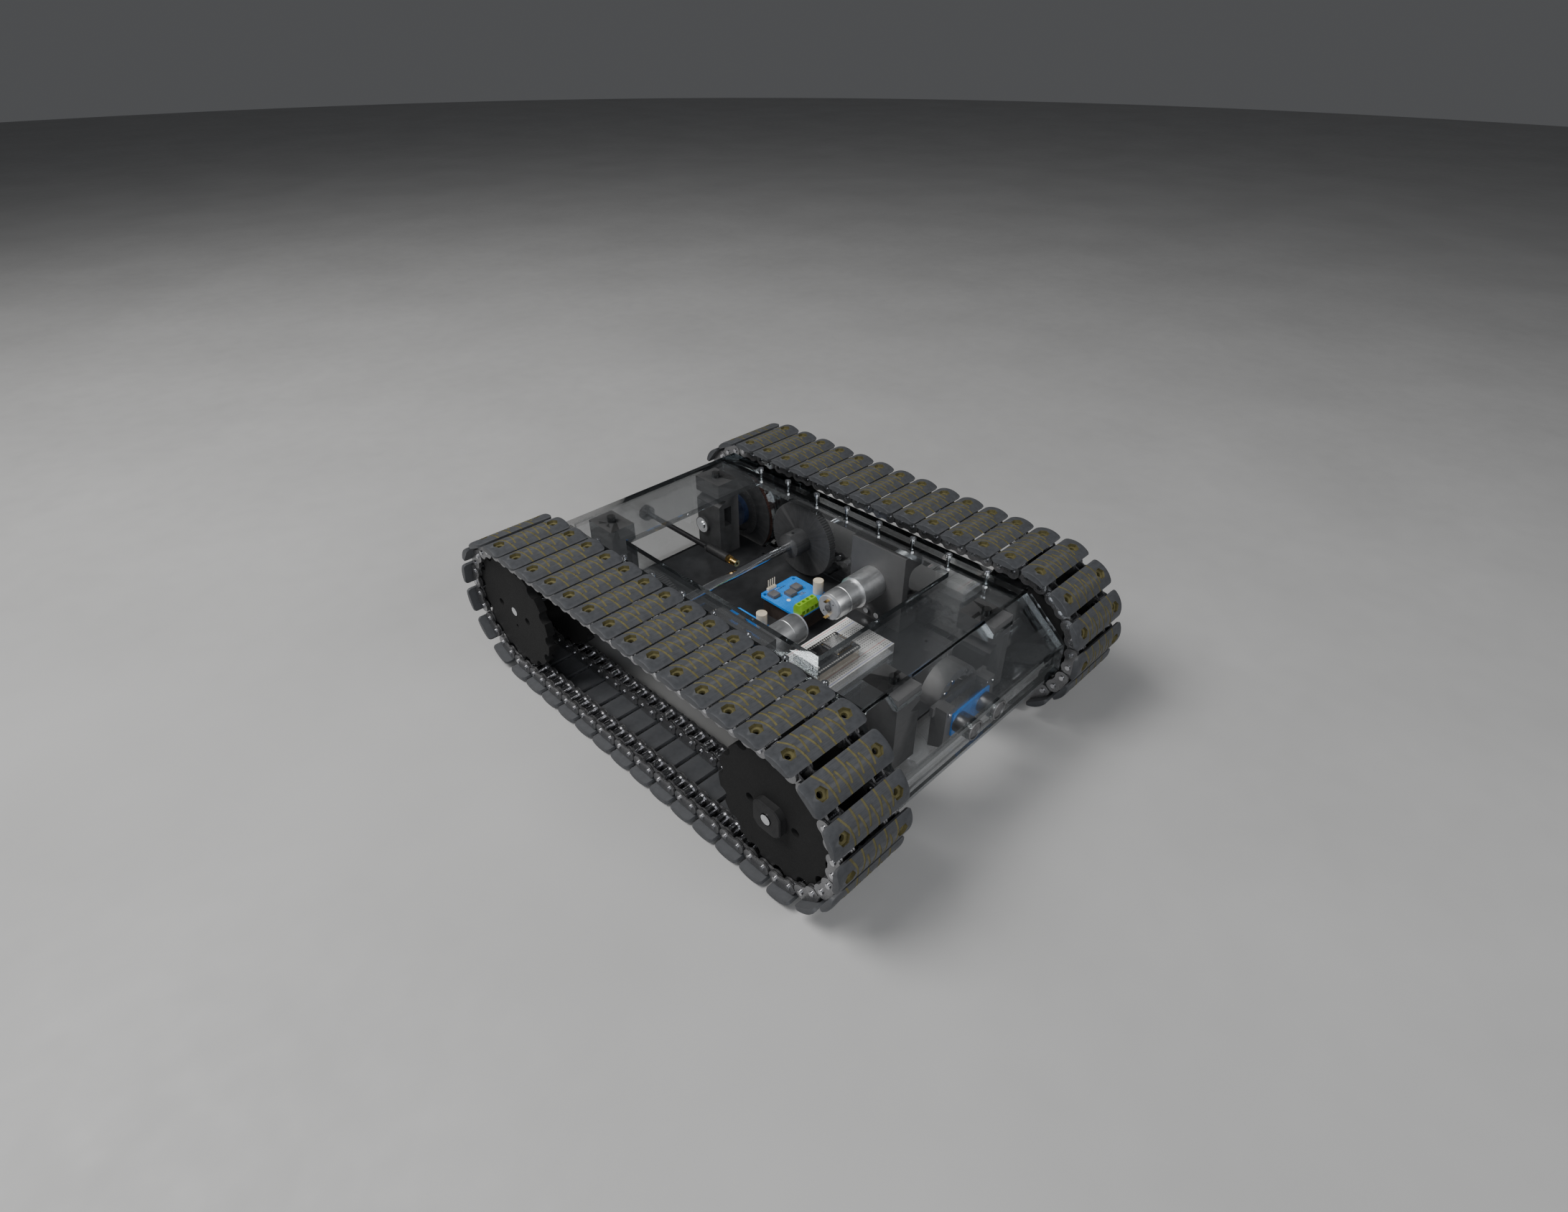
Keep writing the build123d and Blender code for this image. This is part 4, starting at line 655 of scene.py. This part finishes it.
def sensors():
    low, high, middle = span("sensor_cans")
    radius = (high.z - low.z) / 2
    depth = high.y - low.y
    rim = [(depth - back * MM, radius - inset * MM) for back, inset in SENSOR_RIM]
    can = [(0, 0), (0, radius)] + rim + [(depth - SENSOR_FLOOR_BACK, 0)]
    face = depth - MESH_BACK
    back, edge = face - MESH_THICK, radius - MESH_INSET
    ring, mesh = bmesh.new(), bmesh.new()
    for x in (low.x + radius, high.x - radius):
        place = Matrix.Translation((x, high.y, middle.z)) @ Matrix.Rotation(pi / 2, 4, "X")
        lathe(ring, can, place, 64)
        lathe(mesh, [(back, 0), (back, edge), (face, edge), (face + MESH_DOME, 0)], place, 48)
    shells = made_object("sensor_can_shells", ring, SENSOR, angle=RIM_ANGLE)
    settle(shells, "chassis", "sensor_steel", "sensor_cans")
    settle(made_object("sensor_can_mesh", mesh, MESH_GREY), "chassis", "sensor_steel")


sensors()


# ---- small parts on the boards ---------------------------------------------------
def bar(bm, middle, size):
    """A block of size (x, y, z) in mm, standing on middle (x, y, z) in metres."""
    x, y, z = middle
    half_x, half_y = size[0] * MM / 2, size[1] * MM / 2
    prism(bm, rectangle(x - half_x, x + half_x, y - half_y, y + half_y), z, z + size[2] * MM)


DRIVER_TOP = 60 * MM
DRIVER_X = (-61 * MM, 10 * MM)
# Places on a driver board, as x from its edge and y in the frame, in mm.
CHIP_MIDDLES = ((8.2, 26), (20.6, 17), (31.0, 20))
CHIP_LEGS, LEG_PITCH, LEG_OUT = 10, 0.8, 4.8
LEG_SIZE = (0.4, 1.4, 0.5)
PAD_COUNT, PAD_PITCH = 9, 1.4
BACK_PADS, BACK_PAD_SIZE = (15, 30.6), (0.8, 1.6, 0.15)
FRONT_PADS, FRONT_PAD_SIZE, FRONT_ROW, FRONT_ROW_STEP = (26, 9.5), (0.8, 1.3, 0.5), 5, 2
MARK_MIDDLE, MARK_R, MARK_RISE = (12.7, 11.6), 1.9, 0.12
STRIPE, STRIPE_RISE = (8, 21, 32.2, 32.4), 0.06


def driver_details():
    """Chip legs, solder pads and printed marks of the two motor drivers."""
    legs, pads, marks = bmesh.new(), bmesh.new(), bmesh.new()
    for x0 in DRIVER_X:
        for u, v in CHIP_MIDDLES:
            for i in range(CHIP_LEGS):
                x = x0 + (u + (i - (CHIP_LEGS - 1) / 2) * LEG_PITCH) * MM
                for way in (-1, 1):
                    bar(legs, (x, (v + way * LEG_OUT) * MM, DRIVER_TOP), LEG_SIZE)
        for i in range(PAD_COUNT):
            x, y = x0 + (BACK_PADS[0] + PAD_PITCH * i) * MM, BACK_PADS[1] * MM
            bar(pads, (x, y, DRIVER_TOP), BACK_PAD_SIZE)
            row, column = divmod(i, FRONT_ROW)
            x = x0 + (FRONT_PADS[0] + PAD_PITCH * column) * MM
            y = (FRONT_PADS[1] + FRONT_ROW_STEP * row) * MM
            bar(pads, (x, y, DRIVER_TOP), FRONT_PAD_SIZE)
        middle = (x0 + MARK_MIDDLE[0] * MM, MARK_MIDDLE[1] * MM)
        prism(marks, circle(MARK_R * MM, 32, middle), DRIVER_TOP, DRIVER_TOP + MARK_RISE * MM)
        left, right, front, back = (value * MM for value in STRIPE)
        outline = rectangle(x0 + left, x0 + right, front, back)
        prism(marks, outline, DRIVER_TOP, DRIVER_TOP + STRIPE_RISE * MM)
    settle(made_object("driver_chip_legs", legs, TIN, smooth=False), "chassis", "chip_grey")
    settle(made_object("driver_board_pads", pads, TIN, smooth=False), "chassis", "board_blue")
    settle(made_object("driver_board_marks", marks, WHITE, smooth=False), "chassis", "board_blue")


driver_details()


HEADER_PINS = 19
ROW_HALF = 12.7 * MM
COLLAR_SIZE, TIP_SIZE = (1.5, 1.5, 0.08), (0.6, 0.6, 0.9)
RADIO_FROM_END = 14 * MM
RADIO_SHIFT, RADIO_SIZE = 2 * MM, (22, 18.4, 0.8)
EDGE_PADS, EDGE_PAD_PITCH, EDGE_PAD_OUT = 14, 1.27 * MM, 9.2 * MM
EDGE_PAD_SIZE = (0.8, 0.8, 0.95)
AERIAL_BARS, AERIAL_PITCH, AERIAL_FROM_END = 6, 2.6 * MM, 3.2 * MM
AERIAL_LONG, AERIAL_SHORT = (5.2, 0.5, 0.08), (3.6, 0.5, 0.08)
# Single parts: distance from the low end, distance from the middle line and size, in mm.
REGULATOR = (14, -1, (5, 5, 0.9))
USB_CHIP = (16, 7, (3.2, 6.4, 1.6))
BUTTON, BUTTON_TOP = (4.5, 8, (3, 4.2, 1.6)), (1.4, 2.4, 0.5)
LIGHT_CHIP = (10.3, 2, (1.6, 9, 0.9))


def controller_details():
    """Pin tips, radio board, its gold pads and aerial, buttons and small chips."""
    low, high, middle = span("controller_board")
    top = high.z
    tips, gold, dark, white = bmesh.new(), bmesh.new(), bmesh.new(), bmesh.new()
    for i in range(HEADER_PINS):
        x = middle.x + (i - (HEADER_PINS - 1) / 2) * HOLE_PITCH
        for way in (-1, 1):
            at = (x, middle.y + way * ROW_HALF, top)
            bar(white, at, COLLAR_SIZE)
            bar(tips, at, TIP_SIZE)
    radio_x = high.x - RADIO_FROM_END
    bar(dark, (radio_x + RADIO_SHIFT, middle.y, top), RADIO_SIZE)
    for i in range(EDGE_PADS):
        x = radio_x + (i - (EDGE_PADS - 1) / 2) * EDGE_PAD_PITCH
        for way in (-1, 1):
            bar(gold, (x, middle.y + way * EDGE_PAD_OUT, top), EDGE_PAD_SIZE)
    for i in range(AERIAL_BARS):
        y = middle.y + (i - (AERIAL_BARS - 1) / 2) * AERIAL_PITCH
        at = (high.x - AERIAL_FROM_END, y, top + RADIO_SIZE[2] * MM)
        bar(gold, at, AERIAL_LONG if i % 2 else AERIAL_SHORT)
    for bm, (along, across, size) in ((dark, REGULATOR), (dark, USB_CHIP), (white, LIGHT_CHIP)):
        bar(bm, (low.x + along * MM, middle.y + across * MM, top), size)
    along, across, size = BUTTON
    for way in (-1, 1):
        x, y = low.x + along * MM, middle.y + way * across * MM
        bar(white, (x, y, top), size)
        bar(dark, (x, y, top + size[2] * MM), BUTTON_TOP)
    for name, bm, material in (
        ("controller_pin_tips", tips, TIN), ("controller_gold", gold, BRASS),
        ("controller_dark_parts", dark, CHIP), ("controller_light_parts", white, WHITE),
    ):
        settle(made_object(name, bm, material, smooth=False), "chassis", "board_black")


controller_details()


# ---- eased edges of the plain blocks ---------------------------------------------
EDGE_WIDTHS = {
    "bearing_posts": 0.35, "motor_brackets": 0.35, "driver_blocks": 0.3,
    "driver_chips": 0.25, "driver_capacitors": 0.4, "controller_shields": 0.25,
}
for name, width in EDGE_WIDTHS.items():
    bevel(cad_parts[name], width * MM)


# ---- stage, light and camera -----------------------------------------------------
GROUND_R, GROUND_THICK = 6.0, 0.02
WORLD_TONE, WORLD_STRENGTH = (0.5, 0.51, 0.53, 1), 0.16
LIGHT_AIM = (0, 0, 0.05)
# Name, place, width and height, power and tone of each light.
LIGHTS = (
    ("key", (-0.9, 0.7, 1.7), (1.1, 1.1), 44, (1.0, 0.99, 0.97)),
    ("fill", (-1.3, -1.3, 1.0), (1.2, 1.2), 15, (0.95, 0.97, 1.0)),
    ("front", (0.1, -1.7, 1.3), (0.9, 0.7), 14, (1.0, 1.0, 1.0)),
)
SENSOR_WIDTH, LENS, NEAR_CLIP = 36.0, 19.33, 0.01
CAMERA_PLACE = (-0.4197, -0.4218, 0.4935)
CAMERA_AZIMUTH, CAMERA_ELEVATION, CAMERA_ROLL = -45.2, 35.39, 0.16


def soft_light(name, place, size, power, tone):
    data = bpy.data.lights.new(name, "AREA")
    data.shape = "RECTANGLE"
    data.size, data.size_y = size
    data.energy = power
    data.color = tone
    lamp = bpy.data.objects.new(name, data)
    lamp.location = place
    lamp.rotation_euler = (Vector(LIGHT_AIM) - Vector(place)).to_track_quat("-Z", "Y").to_euler()
    bpy.context.scene.collection.objects.link(lamp)


def studio():
    bm = bmesh.new()
    prism(bm, circle(GROUND_R, 96), -GROUND_THICK, 0.0)
    ground = surface("studio_ground", (0.36, 0.36, 0.36), (0.4, 0.4, 0.4), (0.55, 0.75), grain=40)
    made_object("studio_ground", bm, ground, smooth=False)
    world = bpy.data.worlds.new("studio_world")
    world.use_nodes = True
    back = world.node_tree.nodes["Background"]
    back.inputs["Color"].default_value = WORLD_TONE
    back.inputs["Strength"].default_value = WORLD_STRENGTH
    bpy.context.scene.world = world
    for light in LIGHTS:
        soft_light(*light)


def camera():
    data = bpy.data.cameras.new("camera")
    data.sensor_width = SENSOR_WIDTH
    data.lens = LENS
    data.clip_start = NEAR_CLIP
    made = bpy.data.objects.new("camera", data)
    azimuth, elevation, roll = map(radians, (CAMERA_AZIMUTH, CAMERA_ELEVATION, CAMERA_ROLL))
    made.location = CAMERA_PLACE
    aim = Euler((pi / 2 - elevation, 0, azimuth), "XYZ").to_matrix()
    made.rotation_euler = (aim @ Matrix.Rotation(roll, 3, "Z")).to_euler()
    bpy.context.scene.collection.objects.link(made)
    bpy.context.scene.camera = made


studio()
camera()
